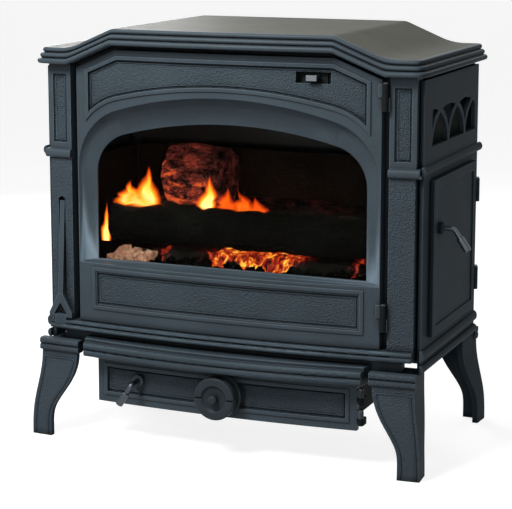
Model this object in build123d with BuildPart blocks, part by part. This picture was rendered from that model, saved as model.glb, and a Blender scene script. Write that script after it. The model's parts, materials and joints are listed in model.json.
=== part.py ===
"""Cast-iron wood burning stove: bowed front, glazed front door, side loading door, ash door and four legs."""

import os
from math import atan2, cos, degrees, radians, sin, sqrt, tan

from build123d import *

os.makedirs("parts", exist_ok=True)

# Driving dimensions in millimetres: x runs right, y back from the door face's middle, z up from the floor
HEIGHT = 720.0
BOW_R = 2530.0
CASTING = 8.0
SHEET = 3.0
CLEAR = 0.3
RUNNING = 0.06
ROLL_ROUND = 0.42
BITE = 1.0

# Base, front ledge and hearth shelf
BASE_BOTTOM = 168.0
BASE_TOP = 186.0
BASE_FRONT = 8.0
BASE_CORNER = 46.0
BASE_NOTCH = 95.0
BASE_CUT = 78.0
BASE_STRIP = 42.0
LEDGE_BOTTOM = 190.0
LEDGE_HALF = 332.0
LEDGE_PROUD = 14.0
LEDGE_STEP = 2.0
SHELF_BOW_R = 1550.0
SHELF_FRONT = 38.0
SHELF_GAP = 3.0
SHELF_BOTTOM = 150.0
SHELF_ROLL = 12.0
SHELF_MITRE = 14.0
PLATFORM_SET = 11.0
PLATFORM_RISE = 6.0

# Corner columns
COLUMN_IN = 289.0
COLUMN_OUT = 333.0
COLUMN_BACK = 50.0
COLUMN_FOOT = 206.0
UPPER_STOREY = 164.0
COLUMN_MARGIN = 8.0
LOWER_SET_IN = 1.5
LIP_HEIGHT = 16.0
LIP_PROUD = 7.0
FIELD_RISE = 11.0
FIELD_DROP = 18.0
FIELD_DEPTH = 3.0

# Side castings, back and mouldings
SIDE_IN = 335.5
SIDE_OUT = 342.0
SIDE_FRONT = 34.0
SIDE_FLANGE = 275.0
BACK_IN = 340.0
BODY_BACK = 350.0
MOULDING_PROUD = 6.0
MOULDING_FRONT = 26.0
MOULDING_LOW = 15.0
MOULDING_GAP = 6.0

# Vent panels with interlaced arches
VENT_RISE = 30.0
VENT_ARCH = 62.0
VENT_PITCH = 97.0
VENT_BAYS = 3
VENT_FIRST = 73.0
VENT_BAR = 9.0
VENT_JAMBS = (76.0, 330.0)
VENT_HEAD_GAP = 6.0
VENT_ROLL_DROP = 12.0
VENT_ROLL_H = 15.0
VENT_ROLL_FRONT = 24.0
VENT_ROLL_REAR = 362.0
TRAY_DEPTH = 17.0
TRAY_WALL = 2.5
TRAY_LAP = 14.0

# Roof-shaped top plate
ROOF_EDGE = 28.0
ROOF_STEPS = 3
ROOF_STEP_IN = 5.0
ROOF_HALF = 352.0
ROOF_FRONT = 22.0
ROOF_REAR = 388.0
ROOF_CORNER = 22.0
PLATEAU_HALF = 200.0
WING_IN = 286.0
WING_DROP = 36.0
POCKET_LAP = 10.0

# Front door and its glass
DOOR_SIDE_GAP = 13.0
DOOR_FOOT_GAP = 1.0
DOOR_GAP = 9.0
DOOR_SEAT = 16.0
DOOR_RIM = 14.0
DOOR_BACK = 36.0
FRAME_FACE = 40.0
GLASS_HALF = 247.0
GLASS_SILL = 316.0
CROWN_DROP = 130.0
GLASS_CROWN_R = 750.0
GLASS_CORNER_R = 70.0
SPLAY_SIDE = 37.0
SPLAY_TOP = 49.0
SPLAY_SILL = 6.0
SPLAY_CROWN_R = 850.0
SPLAY_CORNER_R = 110.0
SPLAY_FRONT = 2.0
COVE_DEPTH = 23.0
COVE_SHARE = 0.62
GLASS_LAND = 4.0
GLASS_T = 4.0
GLASS_LAP = 8.0
GASKET_T = 2.0
GASKET_W = 6.0
GASKET_SET = 1.0
BEAD = 6.0
BEAD_PROUD = 2.0
FIELD_HALF = 252.0
FIELD_INSET = 25.0
FIELD_ARCH_HALF = 290.0
CROWN_BAND = 65.0
FIELD_ARCH_R = 860.0
FIELD_ARCH_CORNER = 120.0
LOWER_FIELD_HALF = 240.0
LOWER_FIELD_BOTTOM = 239.0
LOWER_FIELD_TOP = 295.0
LOWER_BEAD_SET = 3.0
SEAL_W = 8.0
SEAL_IN = 4.0
SEAL_DEPTH = 5.0
CLIP_W = 14.0
CLIP_T = 2.0
CLIP_GRIP = 6.0
CLIP_FOOT = 12.0
CLIP_SLACK = 2.5
CLIP_X = 130.0
SCREW_R = 2.0
SCREW_HEAD_R = 4.0
SCREW_HEAD_T = 2.5
SCREW_DEPTH = 6.0

# Air slide in the door
SLOT_X = 161.0
SLOT_DROP = 42.0
SLOT_W = 60.0
SLOT_H = 19.0
SLIDE_FACE = 17.0
SLIDE_HALF = 22.0
SLIDE_LAP = 2.0
SLIDE_T = 3.0
SLIDE_KNOB_W = 18.0
SLIDE_KNOB_H = 9.0
SLIDE_KNOB_FRONT = 2.0
GUIDE_LAP = 14.0
GUIDE_RAIL = 3.0
GUIDE_T = 1.5

# Hinges: every hinge is a fixed eye, a moving eye above it and one pin
HINGE_PIN_R = 3.0
HINGE_EYE_R = 5.5
HINGE_OFFSET = 7.0
HINGE_HEAD_R = 4.5
HINGE_HEAD_T = 2.5
HINGE_ARM = 6.0
HINGE_ARM_T = 8.0
HINGE_Y = 12.0
HINGE_EYE_H = 22.0
HINGE_RISE = 31.0
HINGE_DROP = 56.0
HINGE_TAB = 12.0

# Latch lever on the left column
LATCH_X = 311.0
LATCH_Y = 11.0
LATCH_RISE = 6.0
LATCH_THICK = 9.0
LATCH_HEAD = 76.0
LATCH_FORK_HALF = 22.0
LATCH_FORK_IN = 11.5
LATCH_FORK_ROOF = 24.0
LATCH_FORK_H = 40.0
LATCH_SHOULDER = 28.0
LATCH_BAR_W = 9.0
LATCH_LEAN = 14.2
LATCH_TIP_T = 8.0
LATCH_PIN_R = 3.0
LUG_HALF = 10.5
GROOVE_W = 14.0
GROOVE_DEPTH = 11.0
GROOVE_RISE = 20.0
GROOVE_ROOM = 8.0

# Side loading door
SIDE_DOOR_FRONT = 70.0
SIDE_DOOR_REAR = 318.0
SIDE_DOOR_BOTTOM = 222.0
SIDE_DOOR_HEAD = 8.0
SIDE_DOOR_GAP = 1.0
SIDE_DOOR_T = 7.0
SIDE_DOOR_LAP = 22.0
SIDE_DOOR_BORDER = 16.0
SIDE_SEAL_DEPTH = 3.5
SIDE_HINGE_OFFSET = 9.0
SIDE_EYE_H = 20.0
SIDE_HINGE_RISE = 30.0
SIDE_HINGE_DROP = 74.0

# Turning handles and their cams
HANDLE_R = 4.0
HANDLE_BEND = 10.0
HANDLE_DROP = 43.5
HANDLE_LEAN = 34.4
HANDLE_SWING = 30.0
HANDLE_TILT = 10.0
BOSS_R = 10.0
BOSS_H = 6.0
GRIP_R = 6.5
GRIP_LENGTH = 26.0
GRIP_END = 3.0
CAM_LENGTH = 28.0
CAM_W = 14.0
CAM_T = 5.0
CAM_GAP = 0.5
CAM_END = 1.0
SIDE_HANDLE_Y = 106.0
SIDE_HANDLE_DROP = 84.0
SIDE_REACH = 402.0
ASH_HANDLE_X = 158.0
ASH_HANDLE_Z = 112.0
ASH_HANDLE_REACH = 24.0

# Ash box, ash pan and ash door
ASH_DOOR_LAP = 14.0
ASH_BOTTOM = 66.0
ASH_TOP_GAP = 1.0
ASH_DOOR_BACK = 22.0
ASH_SEAT = 16.0
ASH_SEAL_IN = 6.0
ASH_SEAL_DEPTH = 4.0
ASH_POCKET_IN = 18.0
ASH_FIELD_IN = 19.0
ASH_LEG_GAP = 47.0
ASH_BOX_REAR = 300.0
ASH_FLANGE_GAP = 1.0
ASH_FLANGE_LAP = 2.0
ASH_FLOOR = 79.0
ASH_HINGE_Y = 11.0
ASH_EYE_R = 5.0
ASH_EYE_H = 12.0
ASH_HINGE_FEET = (76.0, 112.0)
PAN_GAP = 16.0
PAN_TOP = 128.0
PAN_T = 2.0

# Air wheel on the ash door
WHEEL_Z = 105.0
WHEEL_R = 37.0
WHEEL_BACK = 17.0
WHEEL_T = 17.0
WHEEL_BOSS = 8.0
WHEEL_BOSS_R = 7.5
WHEEL_DISH_R = 23.5
WHEEL_DISH = 4.0
WHEEL_ROUND = 4.0
WHEEL_CAP = 2.0
NOTCH_W = 4.0
NOTCH_DEPTH = 3.0
SEAT_R = 38.5
SEAT_H = 8.0
AIR_R = 28.0
AIR_HUB_R = 11.0
AIR_SPOKES = 3
AIR_SPOKE_W = 8.0
SPINDLE_R = 5.0
SPINDLE_REACH = 31.0
SPINDLE_HEAD_R = 8.0
SPINDLE_HEAD = 4.0
WASHER_R = 12.0
WASHER_T = 2.0

# Legs
LEG_WALL = 10.0
LEG_TURN = 4.0
LEG_TOP = 174.0
LEG_ROLL = 11.0
LEG_TOP_WIDTH = 71.0
LEG_FOOT_WIDTH = 38.0
LEG_KICK = 14.0
ANKLE_RISE = 0.35
ANKLE_KICK = 0.15
ANKLE_SWELL = 0.1
KNEE_RISE = 0.6
KNEE_SWELL = 0.6
LEG_BOLT_IN = 65.0
LEG_BOLT_BACK = 49.0
CAP_FRONT = 9.0
CAP_BACK = 28.0
CAP_OUT = 12.0
CAP_IN = 90.0
FOOT_REACH = 358.0
FOOT_FRONT = -16.0
FOOT_REAR = 380.0
BOLT_R = 5.0
BOLT_HEAD_R = 9.0
BOLT_HEAD = 6.0
BOLT_BITE = 15.0

# Flue collar and rear heat shield
FLUE_DROP = 160.0
FLUE_BORE_R = 75.0
FLUE_WALL = 7.0
FLUE_REACH = 410.0
FLUE_FLANGE_R = 105.0
FLUE_BOLT_RING = 93.0
FLUE_BOLTS = 4
FLUE_BOLT_R = 4.0
FLUE_BOLT_HEAD_R = 7.2
SHIELD_Y = 372.0
SHIELD_T = 2.0
SHIELD_HALF = 290.0
SHIELD_FOOT = 215.0
SHIELD_DROP = 80.0
SHIELD_FOLD = 10.0
SHIELD_HOLE_R = 112.0
STAND_OFF_R = 9.0
STAND_OFF_IN = 30.0

# Firebox: bricks, grate, baffle, log fence, ember bed and logs
FLOOR_T = 54.0
FLOOR_FRONT = 62.0
BRICK_GAP = 2.0
LINING_T = 25.0
LINING_DROP = 12.0
CHUTE = 12.0
GRATE_HALF = 190.0
GRATE_FRONT = 90.0
GRATE_REAR = 280.0
GRATE_T = 12.0
GRATE_SLOTS = 9
GRATE_SLOT_W = 10.0
GRATE_BORDER = 18.0
BAFFLE_GAP = 0.5
BAFFLE_T = 8.0
BAFFLE_FRONT = 150.0
BAFFLE_RISE = 118.0
FENCE_HALF = 255.0
FENCE_T = 6.0
FENCE_H = 60.0
FENCE_SLOTS = 13
FENCE_SLOT_W = 24.0
FENCE_BORDER = 12.0
BED_HALF = 248.0
BED_GAP = 2.0
BED_LIP = 55.0
BED_CREST = 92.0
BED_TAIL = 85.0
LOG_R = 40.0
LOG_TOP_R = 60.0
LOG_FRONT_Y = 104.0
LOG_BACK_Y = 224.0
LOG_FRONT_SPAN = (-248.0, 232.0)
LOG_BACK_SPAN = (-215.0, 214.0)
LOG_TOP_SPAN = (-190.0, -55.0)

# Places that follow from the driving dimensions
PLATEAU_UNDER = HEIGHT - ROOF_EDGE
WING_UNDER = PLATEAU_UNDER - WING_DROP
TILT = degrees(atan2(WING_DROP, WING_IN - PLATEAU_HALF))
COLUMN_SPLIT = WING_UNDER - UPPER_STOREY
VENT_BOTTOM = COLUMN_SPLIT + LIP_HEIGHT
VENT_SILL = VENT_BOTTOM + VENT_RISE
DOOR_HALF = COLUMN_IN - DOOR_SIDE_GAP
DOOR_BOTTOM = COLUMN_FOOT + DOOR_FOOT_GAP
GLASS_CROWN = PLATEAU_UNDER - CROWN_DROP
FIELD_ARCH_CROWN = GLASS_CROWN + CROWN_BAND
SLOT_Z = PLATEAU_UNDER - SLOT_DROP
HINGE_X = DOOR_HALF + HINGE_OFFSET
HINGE_FEET = (DOOR_BOTTOM + HINGE_RISE, WING_UNDER - HINGE_DROP)
LATCH_Z = COLUMN_FOOT + LATCH_RISE
LATCH_TOP = COLUMN_SPLIT - LATCH_HEAD
SIDE_DOOR_TOP = COLUMN_SPLIT - SIDE_DOOR_HEAD
SIDE_HINGE_X = SIDE_OUT + SIDE_DOOR_GAP + HINGE_EYE_R
SIDE_HINGE_Y = SIDE_DOOR_REAR + SIDE_HINGE_OFFSET
SIDE_HINGE_FEET = (SIDE_DOOR_BOTTOM + SIDE_HINGE_RISE, SIDE_DOOR_TOP - SIDE_HINGE_DROP)
SIDE_HANDLE_Z = SIDE_DOOR_TOP - SIDE_HANDLE_DROP
FLUE_Z = HEIGHT - FLUE_DROP
SHIELD_HEAD = HEIGHT - SHIELD_DROP
FLOOR_TOP = BASE_TOP + FLOOR_T
LINING_TOP = COLUMN_SPLIT - LINING_DROP
LEG_STEM = LEG_TOP - 2 * LEG_ROLL
LEG_SHOULDER = LEG_KICK + LEG_TOP_WIDTH
LEG_BOLT_X = FOOT_REACH - LEG_BOLT_IN
LEG_BOLT_Y = FOOT_FRONT + LEG_BOLT_BACK
BASE_FRONT_HALF = FOOT_REACH - BASE_CORNER
BASE_NOTCH_IN = FOOT_REACH - BASE_CUT
SHELF_HALF = FOOT_REACH - CAP_IN - SHELF_GAP
ASH_BOX_HALF = FOOT_REACH - LEG_SHOULDER - ASH_LEG_GAP
ASH_HALF = ASH_BOX_HALF + ASH_DOOR_LAP
ASH_TOP = SHELF_BOTTOM - ASH_TOP_GAP
ASH_HINGE_X = ASH_HALF + HINGE_OFFSET
ASH_FLANGE = ASH_DOOR_BACK + ASH_FLANGE_GAP
WHEEL_FRONT = WHEEL_BACK + WHEEL_T
WHEEL_STAND = WHEEL_FRONT + WHEEL_BOSS

# The part's origin is the bottom centre of its box, so the stove's own axes are set off from it.
MID_X = (FOOT_REACH - SIDE_REACH) / 2
MID_Y = (WHEEL_STAND - FLUE_REACH) / 2


def level(z):
    """Plane at height z: local x right, local y back."""
    return Plane(origin=(MID_X, MID_Y, z))


def facing(y):
    """Upright plane at depth y that looks forward: local x right, local y up."""
    return Plane(origin=(MID_X, MID_Y + y, 0), x_dir=(1, 0, 0), z_dir=(0, -1, 0))


def flank(x):
    """Upright plane at x that looks right: local x back, local y up."""
    return Plane(origin=(MID_X + x, MID_Y, 0), x_dir=(0, 1, 0), z_dir=(1, 0, 0))


def bow(x, radius=BOW_R):
    """Depth of a bowed face at x, behind its crown."""
    return radius - sqrt(radius**2 - x**2)


def behind_bow(proud, radius=BOW_R):
    """Block of everything behind a bowed face whose crown stands proud of the door face."""
    half = ROOF_HALF + FOOT_REACH
    edge = bow(half, radius) - proud
    with BuildPart() as result:
        with BuildSketch(level(0)):
            with BuildLine():
                ThreePointArc((-half, edge), (0, -proud), (half, edge))
                Polyline((half, edge), (half, FLUE_REACH), (-half, FLUE_REACH), (-half, edge))
            make_face()
        extrude(amount=HEIGHT)
    return result.part


def arch(half, sill, crown, crown_r, corner_r):
    """Face of a basket arch: a wide crown arc between two corner arcs on upright sides."""
    corner_x = half - corner_r
    centre = crown - crown_r
    corner_z = centre + sqrt((crown_r - corner_r) ** 2 - corner_x**2)
    reach = crown_r / (crown_r - corner_r)
    touch_x = corner_x * reach
    touch_z = centre + (corner_z - centre) * reach
    turn = (radians(90) - atan2(corner_x, corner_z - centre)) / 2
    mid_x = corner_x + corner_r * cos(turn)
    mid_z = corner_z + corner_r * sin(turn)
    with BuildSketch() as face:
        with BuildLine():
            Polyline((-half, corner_z), (-half, sill), (half, sill), (half, corner_z))
            ThreePointArc((half, corner_z), (mid_x, mid_z), (touch_x, touch_z))
            ThreePointArc((touch_x, touch_z), (0, crown), (-touch_x, touch_z))
            ThreePointArc((-touch_x, touch_z), (-mid_x, mid_z), (-half, corner_z))
        make_face()
    return face.sketch


def glass_arch(grow):
    """Arch of the glazed opening, offset outwards."""
    return arch(GLASS_HALF + grow, GLASS_SILL - grow, GLASS_CROWN + grow,
                GLASS_CROWN_R + grow, GLASS_CORNER_R + grow)


def gable(half, bottom, inset=0):
    """Face under the roof: a rectangle whose top follows the underside of the top plate."""
    pitch = tan(radians(TILT))
    drop = inset / cos(radians(TILT))
    shift = (drop - inset) / pitch
    wing_x = WING_IN - shift
    top_right = [(PLATEAU_HALF - shift, PLATEAU_UNDER - inset)]
    if half > wing_x:
        top_right = [(half, WING_UNDER - inset), (wing_x, WING_UNDER - inset)] + top_right
    else:
        top_right = [(half, PLATEAU_UNDER - drop - (half - PLATEAU_HALF) * pitch)] + top_right
    top_left = [(-x, z) for x, z in reversed(top_right)]
    with BuildSketch() as face:
        with BuildLine():
            Polyline((-half, bottom), (half, bottom), *top_right, *top_left, close=True)
        make_face()
    return face.sketch


def panel(left, right, bottom, top):
    """Rectangular face between four edges."""
    with BuildSketch() as face:
        with Locations(((left + right) / 2, (bottom + top) / 2)):
            Rectangle(right - left, top - bottom)
    return face.sketch


def disc(x, y, radius):
    """Round face."""
    with BuildSketch() as face:
        with Locations((x, y)):
            Circle(radius)
    return face.sketch


def grown(face, amount):
    """Face offset outwards, or inwards when amount is negative, with sharp corners."""
    with BuildSketch() as result:
        add(face)
        offset(amount=amount, kind=Kind.INTERSECTION, mode=Mode.REPLACE)
    return result.sketch


def between(outer, inner):
    """Face between an outer and an inner outline."""
    with BuildSketch() as result:
        add(outer)
        add(inner, mode=Mode.SUBTRACT)
    return result.sketch


def ring(face, width):
    """Band of even width around the outside of a face."""
    return between(grown(face, width), face)


def raised(face, proud, back, radius=BOW_R):
    """Block with the elevation of face, flat at depth back and bowed in front."""
    with BuildPart() as result:
        with BuildSketch(facing(back)):
            add(face)
        extrude(amount=back + SHELF_FRONT + ROOF_FRONT)
        add(behind_bow(proud, radius), mode=Mode.INTERSECT)
    return result.part


def sunk(face, depth, radius=BOW_R):
    """Block that cuts the elevation of face into a bowed front, to an even depth."""
    with BuildPart() as result:
        with BuildSketch(facing(COLUMN_BACK)):
            add(face)
        extrude(amount=COLUMN_BACK + SHELF_FRONT + ROOF_FRONT)
        add(behind_bow(-depth, radius), mode=Mode.SUBTRACT)
    return result.part


def bead(face):
    """Low bowed strip with the elevation of face, rooted in the front wall of a casting."""
    with BuildPart() as result:
        add(raised(face, BEAD_PROUD, COLUMN_BACK))
        add(behind_bow(-CASTING / 2), mode=Mode.SUBTRACT)
    return result.part


def slab(face, front, back):
    """Flat plate with the elevation of face, between two depths."""
    with BuildPart() as result:
        with BuildSketch(facing(back)):
            add(face)
        extrude(amount=back - front)
    return result.part


def cheek(face, inner, outer):
    """Flat plate with the side view of face, between two distances to the right."""
    with BuildPart() as result:
        with BuildSketch(flank(inner)):
            add(face)
        extrude(amount=outer - inner)
    return result.part


def upright(x, y, radius, bottom, top):
    """Upright round bar."""
    with BuildPart() as bar:
        with BuildSketch(level(bottom)):
            add(disc(x, y, radius))
        extrude(amount=top - bottom)
    return bar.part


def block(x_range, y_range, z_range):
    """Plain block between three pairs of limits."""
    with BuildPart() as result:
        with BuildSketch(level(z_range[0])):
            add(panel(*x_range, *y_range))
        extrude(amount=z_range[1] - z_range[0])
    return result.part


def side_range(side, inner, outer):
    """Limits in x of something that lies between two distances from the middle, on one side."""
    return tuple(sorted((side * inner, side * outer)))


def roll_bar(face, proud, back, radius=BOW_R):
    """Bowed bar with rounded front edges, one roll of a moulding."""
    with BuildPart() as bar:
        add(raised(face, proud, back, radius))
        height = bar.part.bounding_box().size.Z
        fillet(bar.edges().filter_by(GeomType.CIRCLE), radius=ROLL_ROUND * height)
    return bar.part


def fixed_eye(x, y, radius, foot, height, tab):
    """Hinge eye on the body, bored for its pin, with the tab that carries it."""
    with BuildPart() as eye:
        add(upright(x, y, radius, foot, foot + height))
        add(block(*tab, (foot, foot + height)))
        add(upright(x, y, HINGE_PIN_R, foot, foot + height), mode=Mode.SUBTRACT)
    return eye.part


def moving_eye(x, y, radius, foot, height, arm):
    """Hinge eye on a door, above the fixed eye that stands on foot, with its arm."""
    bottom = foot + height + CLEAR
    with BuildPart() as eye:
        add(upright(x, y, radius, bottom, bottom + height))
        add(block(*arm, (bottom, bottom + height)))
        add(upright(x, y, HINGE_PIN_R + RUNNING, bottom, bottom + height), mode=Mode.SUBTRACT)
    return eye.part


def hinge_pin(x, y, foot, height):
    """Pin through a fixed and a moving eye, with a head above them."""
    top = foot + 2 * (height + CLEAR)
    with BuildPart() as pin:
        add(upright(x, y, HINGE_PIN_R, foot, top))
        add(upright(x, y, HINGE_HEAD_R, top, top + HINGE_HEAD_T))
    return pin.part


SIDES = ((-1, "left"), (1, "right"))
chute_face = panel(-GRATE_HALF + CHUTE, GRATE_HALF - CHUTE, GRATE_FRONT + CHUTE, GRATE_REAR - CHUTE)
grate_face = panel(-GRATE_HALF, GRATE_HALF, GRATE_FRONT, GRATE_REAR)
leg_bolt_rear = FOOT_FRONT + FOOT_REAR - LEG_BOLT_Y
leg_bolt_places = [(side * LEG_BOLT_X, y) for side, _ in SIDES for y in (LEG_BOLT_Y, leg_bolt_rear)]

# Base plate: the firebox floor, with notched front corners, the ash chute and holes for the leg bolts
with BuildPart() as base_plate:
    with BuildSketch(level(BASE_BOTTOM)):
        add(panel(-SIDE_IN, SIDE_IN, 0, BACK_IN))
        for side, _ in SIDES:
            add(panel(*side_range(side, BASE_FRONT_HALF, SIDE_IN), 0, BASE_NOTCH), mode=Mode.SUBTRACT)
            add(panel(*side_range(side, BASE_NOTCH_IN, SIDE_IN), BASE_STRIP, BASE_NOTCH), mode=Mode.SUBTRACT)
        add(chute_face, mode=Mode.SUBTRACT)
    extrude(amount=BASE_TOP - BASE_BOTTOM)
    add(behind_bow(-BASE_FRONT), mode=Mode.INTERSECT)
    with BuildSketch(level(BASE_BOTTOM)):
        with Locations(*leg_bolt_places):
            Circle(BOLT_R)
    extrude(amount=BOLT_BITE, mode=Mode.SUBTRACT)

# Hearth shelf: two bowed rolls under a low platform, mitred at both ends
shelf_top = SHELF_BOTTOM + 2 * SHELF_ROLL
with BuildPart() as hearth_shelf:
    for step in range(2):
        roll_foot = SHELF_BOTTOM + step * SHELF_ROLL
        add(roll_bar(panel(-SHELF_HALF, SHELF_HALF, roll_foot, roll_foot + SHELF_ROLL), SHELF_FRONT,
                     BASE_STRIP, SHELF_BOW_R))
    add(raised(panel(-SHELF_HALF, SHELF_HALF, shelf_top, shelf_top + PLATFORM_RISE),
               SHELF_FRONT - PLATFORM_SET, BASE_STRIP, SHELF_BOW_R))
    add(behind_bow(-BASE_FRONT), mode=Mode.SUBTRACT)
    with BuildSketch(level(SHELF_BOTTOM)):
        with BuildLine():
            Polyline((-SHELF_HALF + SHELF_MITRE, -SHELF_FRONT), (SHELF_HALF - SHELF_MITRE, -SHELF_FRONT),
                     (SHELF_HALF, BASE_STRIP), (-SHELF_HALF, BASE_STRIP), close=True)
        make_face()
    extrude(amount=shelf_top + PLATFORM_RISE - SHELF_BOTTOM, mode=Mode.INTERSECT)

# Front frame: the flat seat that the front door closes on
with BuildPart() as front_frame:
    with BuildSketch(facing(COLUMN_BACK)):
        add(gable(COLUMN_IN, BASE_TOP))
        add(gable(DOOR_HALF - DOOR_SEAT, DOOR_BOTTOM + DOOR_SEAT, DOOR_GAP + DOOR_SEAT), mode=Mode.SUBTRACT)
    extrude(amount=COLUMN_BACK - FRAME_FACE)

# Front ledge: two rolls under the door and the columns, with the lug that carries the latch lever
ledge_roll = (COLUMN_FOOT - LEDGE_BOTTOM) / 2
latch_front = LATCH_Y - LATCH_THICK / 2
latch_back = LATCH_Y + LATCH_THICK / 2
with BuildPart() as front_ledge:
    for step in range(2):
        roll_foot = LEDGE_BOTTOM + step * ledge_roll
        add(roll_bar(panel(-LEDGE_HALF, LEDGE_HALF, roll_foot, roll_foot + ledge_roll),
                     LEDGE_PROUD - step * LEDGE_STEP, FRAME_FACE))
    add(raised(panel(-BASE_FRONT_HALF, BASE_FRONT_HALF, BASE_TOP, LEDGE_BOTTOM),
               -BASE_FRONT - CASTING, FRAME_FACE))
    with BuildSketch(flank(-LATCH_X - LUG_HALF)):
        add(disc(LATCH_Y, LATCH_Z, LATCH_THICK / 2))
        add(panel(latch_front, latch_back, COLUMN_FOOT - ledge_roll, LATCH_Z))
    extrude(amount=2 * LUG_HALF)
    add(cheek(disc(LATCH_Y, LATCH_Z, LATCH_PIN_R), -LATCH_X - LUG_HALF, -LATCH_X + LUG_HALF),
        mode=Mode.SUBTRACT)


# Corner columns: hollow castings with bowed faces, the right pair carrying the fixed hinge eyes
def column_eye(foot):
    """Fixed eye of the front door's hinge on the inner side of the right column."""
    tab = ((HINGE_X - HINGE_PIN_R / 2, COLUMN_IN + BITE), (HINGE_Y, HINGE_Y + HINGE_TAB))
    return fixed_eye(HINGE_X, HINGE_Y, HINGE_EYE_R, foot, HINGE_EYE_H, tab)


def column_pocket(side, outer, bottom, top):
    """Hollow behind the walls of a column, deep enough to leave a wall behind the latch groove."""
    wall = COLUMN_MARGIN
    return raised(panel(*side_range(side, COLUMN_IN + wall, outer - wall), bottom + wall, top - wall),
                  -GROOVE_DEPTH - CASTING, COLUMN_BACK)


def latch_groove():
    """Round-ended groove that the latch lever lies in."""
    foot = LATCH_Z + GROOVE_RISE
    top = LATCH_TOP + GROOVE_ROOM
    with BuildSketch() as groove:
        with Locations((-LATCH_X, (foot + top) / 2)):
            SlotOverall(top - foot, GROOVE_W, rotation=90)
    return groove.sketch


def lower_column(side):
    outer = COLUMN_OUT - LOWER_SET_IN
    with BuildPart() as column:
        add(raised(panel(*side_range(side, COLUMN_IN, outer), COLUMN_FOOT, COLUMN_SPLIT), 0, COLUMN_BACK))
        add(column_pocket(side, outer, COLUMN_FOOT, COLUMN_SPLIT), mode=Mode.SUBTRACT)
        if side > 0:
            add(column_eye(HINGE_FEET[0]))
        else:
            add(sunk(latch_groove(), GROOVE_DEPTH), mode=Mode.SUBTRACT)
    return column.part


def upper_column(side):
    field = panel(*side_range(side, COLUMN_IN + COLUMN_MARGIN, COLUMN_OUT - COLUMN_MARGIN),
                  VENT_BOTTOM + FIELD_RISE, WING_UNDER - FIELD_DROP)
    lip = panel(*side_range(side, COLUMN_IN, COLUMN_OUT + LIP_PROUD), COLUMN_SPLIT, VENT_BOTTOM)
    with BuildPart() as column:
        add(raised(panel(*side_range(side, COLUMN_IN, COLUMN_OUT), COLUMN_SPLIT, WING_UNDER), 0, COLUMN_BACK))
        add(roll_bar(lip, LIP_PROUD, SIDE_FRONT - BITE))
        add(column_pocket(side, COLUMN_OUT, COLUMN_SPLIT, WING_UNDER), mode=Mode.SUBTRACT)
        add(sunk(field, FIELD_DEPTH), mode=Mode.SUBTRACT)
        if side > 0:
            add(column_eye(HINGE_FEET[1]))
    return column.part


# Side castings: a thin wall with an inner front flange and a two-roll base moulding
def side_moulding(side, bottom, top, front, rear):
    """Half-round roll along the outside of a side casting."""
    with BuildPart() as roll:
        with BuildSketch(facing(rear)):
            with Locations((side * SIDE_OUT, (bottom + top) / 2)):
                Ellipse(MOULDING_PROUD, (top - bottom) / 2)
            add(panel(*side_range(side, SIDE_OUT - MOULDING_PROUD, SIDE_OUT), bottom, top),
                mode=Mode.SUBTRACT)
        extrude(amount=rear - front)
    return roll.part


def side_wall(side, bottom, top, flange_foot):
    """Side wall with its inner flange behind the corner column."""
    with BuildPart() as wall:
        add(block(side_range(side, SIDE_IN, SIDE_OUT), (SIDE_FRONT, BODY_BACK), (bottom, top)))
        add(block(side_range(side, SIDE_FLANGE, SIDE_IN), (COLUMN_BACK, COLUMN_BACK + CASTING),
                  (flange_foot, top)))
    return wall.part


def side_casting(side):
    roll_top = BASE_BOTTOM + MOULDING_LOW
    with BuildPart() as casting:
        add(side_wall(side, BASE_BOTTOM, VENT_BOTTOM, BASE_TOP))
        for bottom, top in ((BASE_BOTTOM, roll_top), (roll_top + MOULDING_GAP, DOOR_BOTTOM)):
            add(side_moulding(side, bottom, top, MOULDING_FRONT, BODY_BACK))
    return casting.part


# Right side frame: the same casting with the loading opening, a groove for the door seal and hinge eyes
side_door_face = panel(SIDE_DOOR_FRONT, SIDE_DOOR_REAR, SIDE_DOOR_BOTTOM, SIDE_DOOR_TOP)
side_seal_path = ring(grown(side_door_face, -SIDE_DOOR_LAP / 2 - SEAL_W / 2), SEAL_W)
side_tab = ((SIDE_OUT - BITE, SIDE_HINGE_X), (SIDE_HINGE_Y, SIDE_HINGE_Y + HINGE_EYE_R))
with BuildPart() as right_side_frame:
    add(side_casting(1))
    add(cheek(grown(side_door_face, -SIDE_DOOR_LAP), SIDE_IN, SIDE_OUT), mode=Mode.SUBTRACT)
    add(cheek(side_seal_path, SIDE_OUT - SIDE_SEAL_DEPTH, SIDE_OUT), mode=Mode.SUBTRACT)
    for foot in SIDE_HINGE_FEET:
        add(fixed_eye(SIDE_HINGE_X, SIDE_HINGE_Y, HINGE_EYE_R, foot, SIDE_EYE_H, side_tab))


# Vent panels: interlaced arches over a sill, above a roll that caps the lower side
def vent_bar(centre):
    """One elliptical arch bar that springs from the sill."""
    with BuildSketch() as bar:
        with Locations(centre):
            Ellipse(VENT_PITCH + VENT_BAR / 2, VENT_ARCH + VENT_BAR)
            Ellipse(VENT_PITCH - VENT_BAR / 2, VENT_ARCH, mode=Mode.SUBTRACT)
    return bar.sketch


def vent_openings():
    """Openings between crossing arch bars."""
    centres = [(VENT_FIRST + (bay - 1) * VENT_PITCH, VENT_SILL) for bay in range(VENT_BAYS + 2)]
    with BuildSketch() as openings:
        with Locations(*centres[1:-1]):
            Ellipse(VENT_PITCH - VENT_BAR / 2, VENT_ARCH)
        add(panel(*VENT_JAMBS, VENT_SILL, VENT_SILL + VENT_ARCH), mode=Mode.INTERSECT)
        for centre in centres:
            add(vent_bar(centre), mode=Mode.SUBTRACT)
    return openings.sketch


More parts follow.
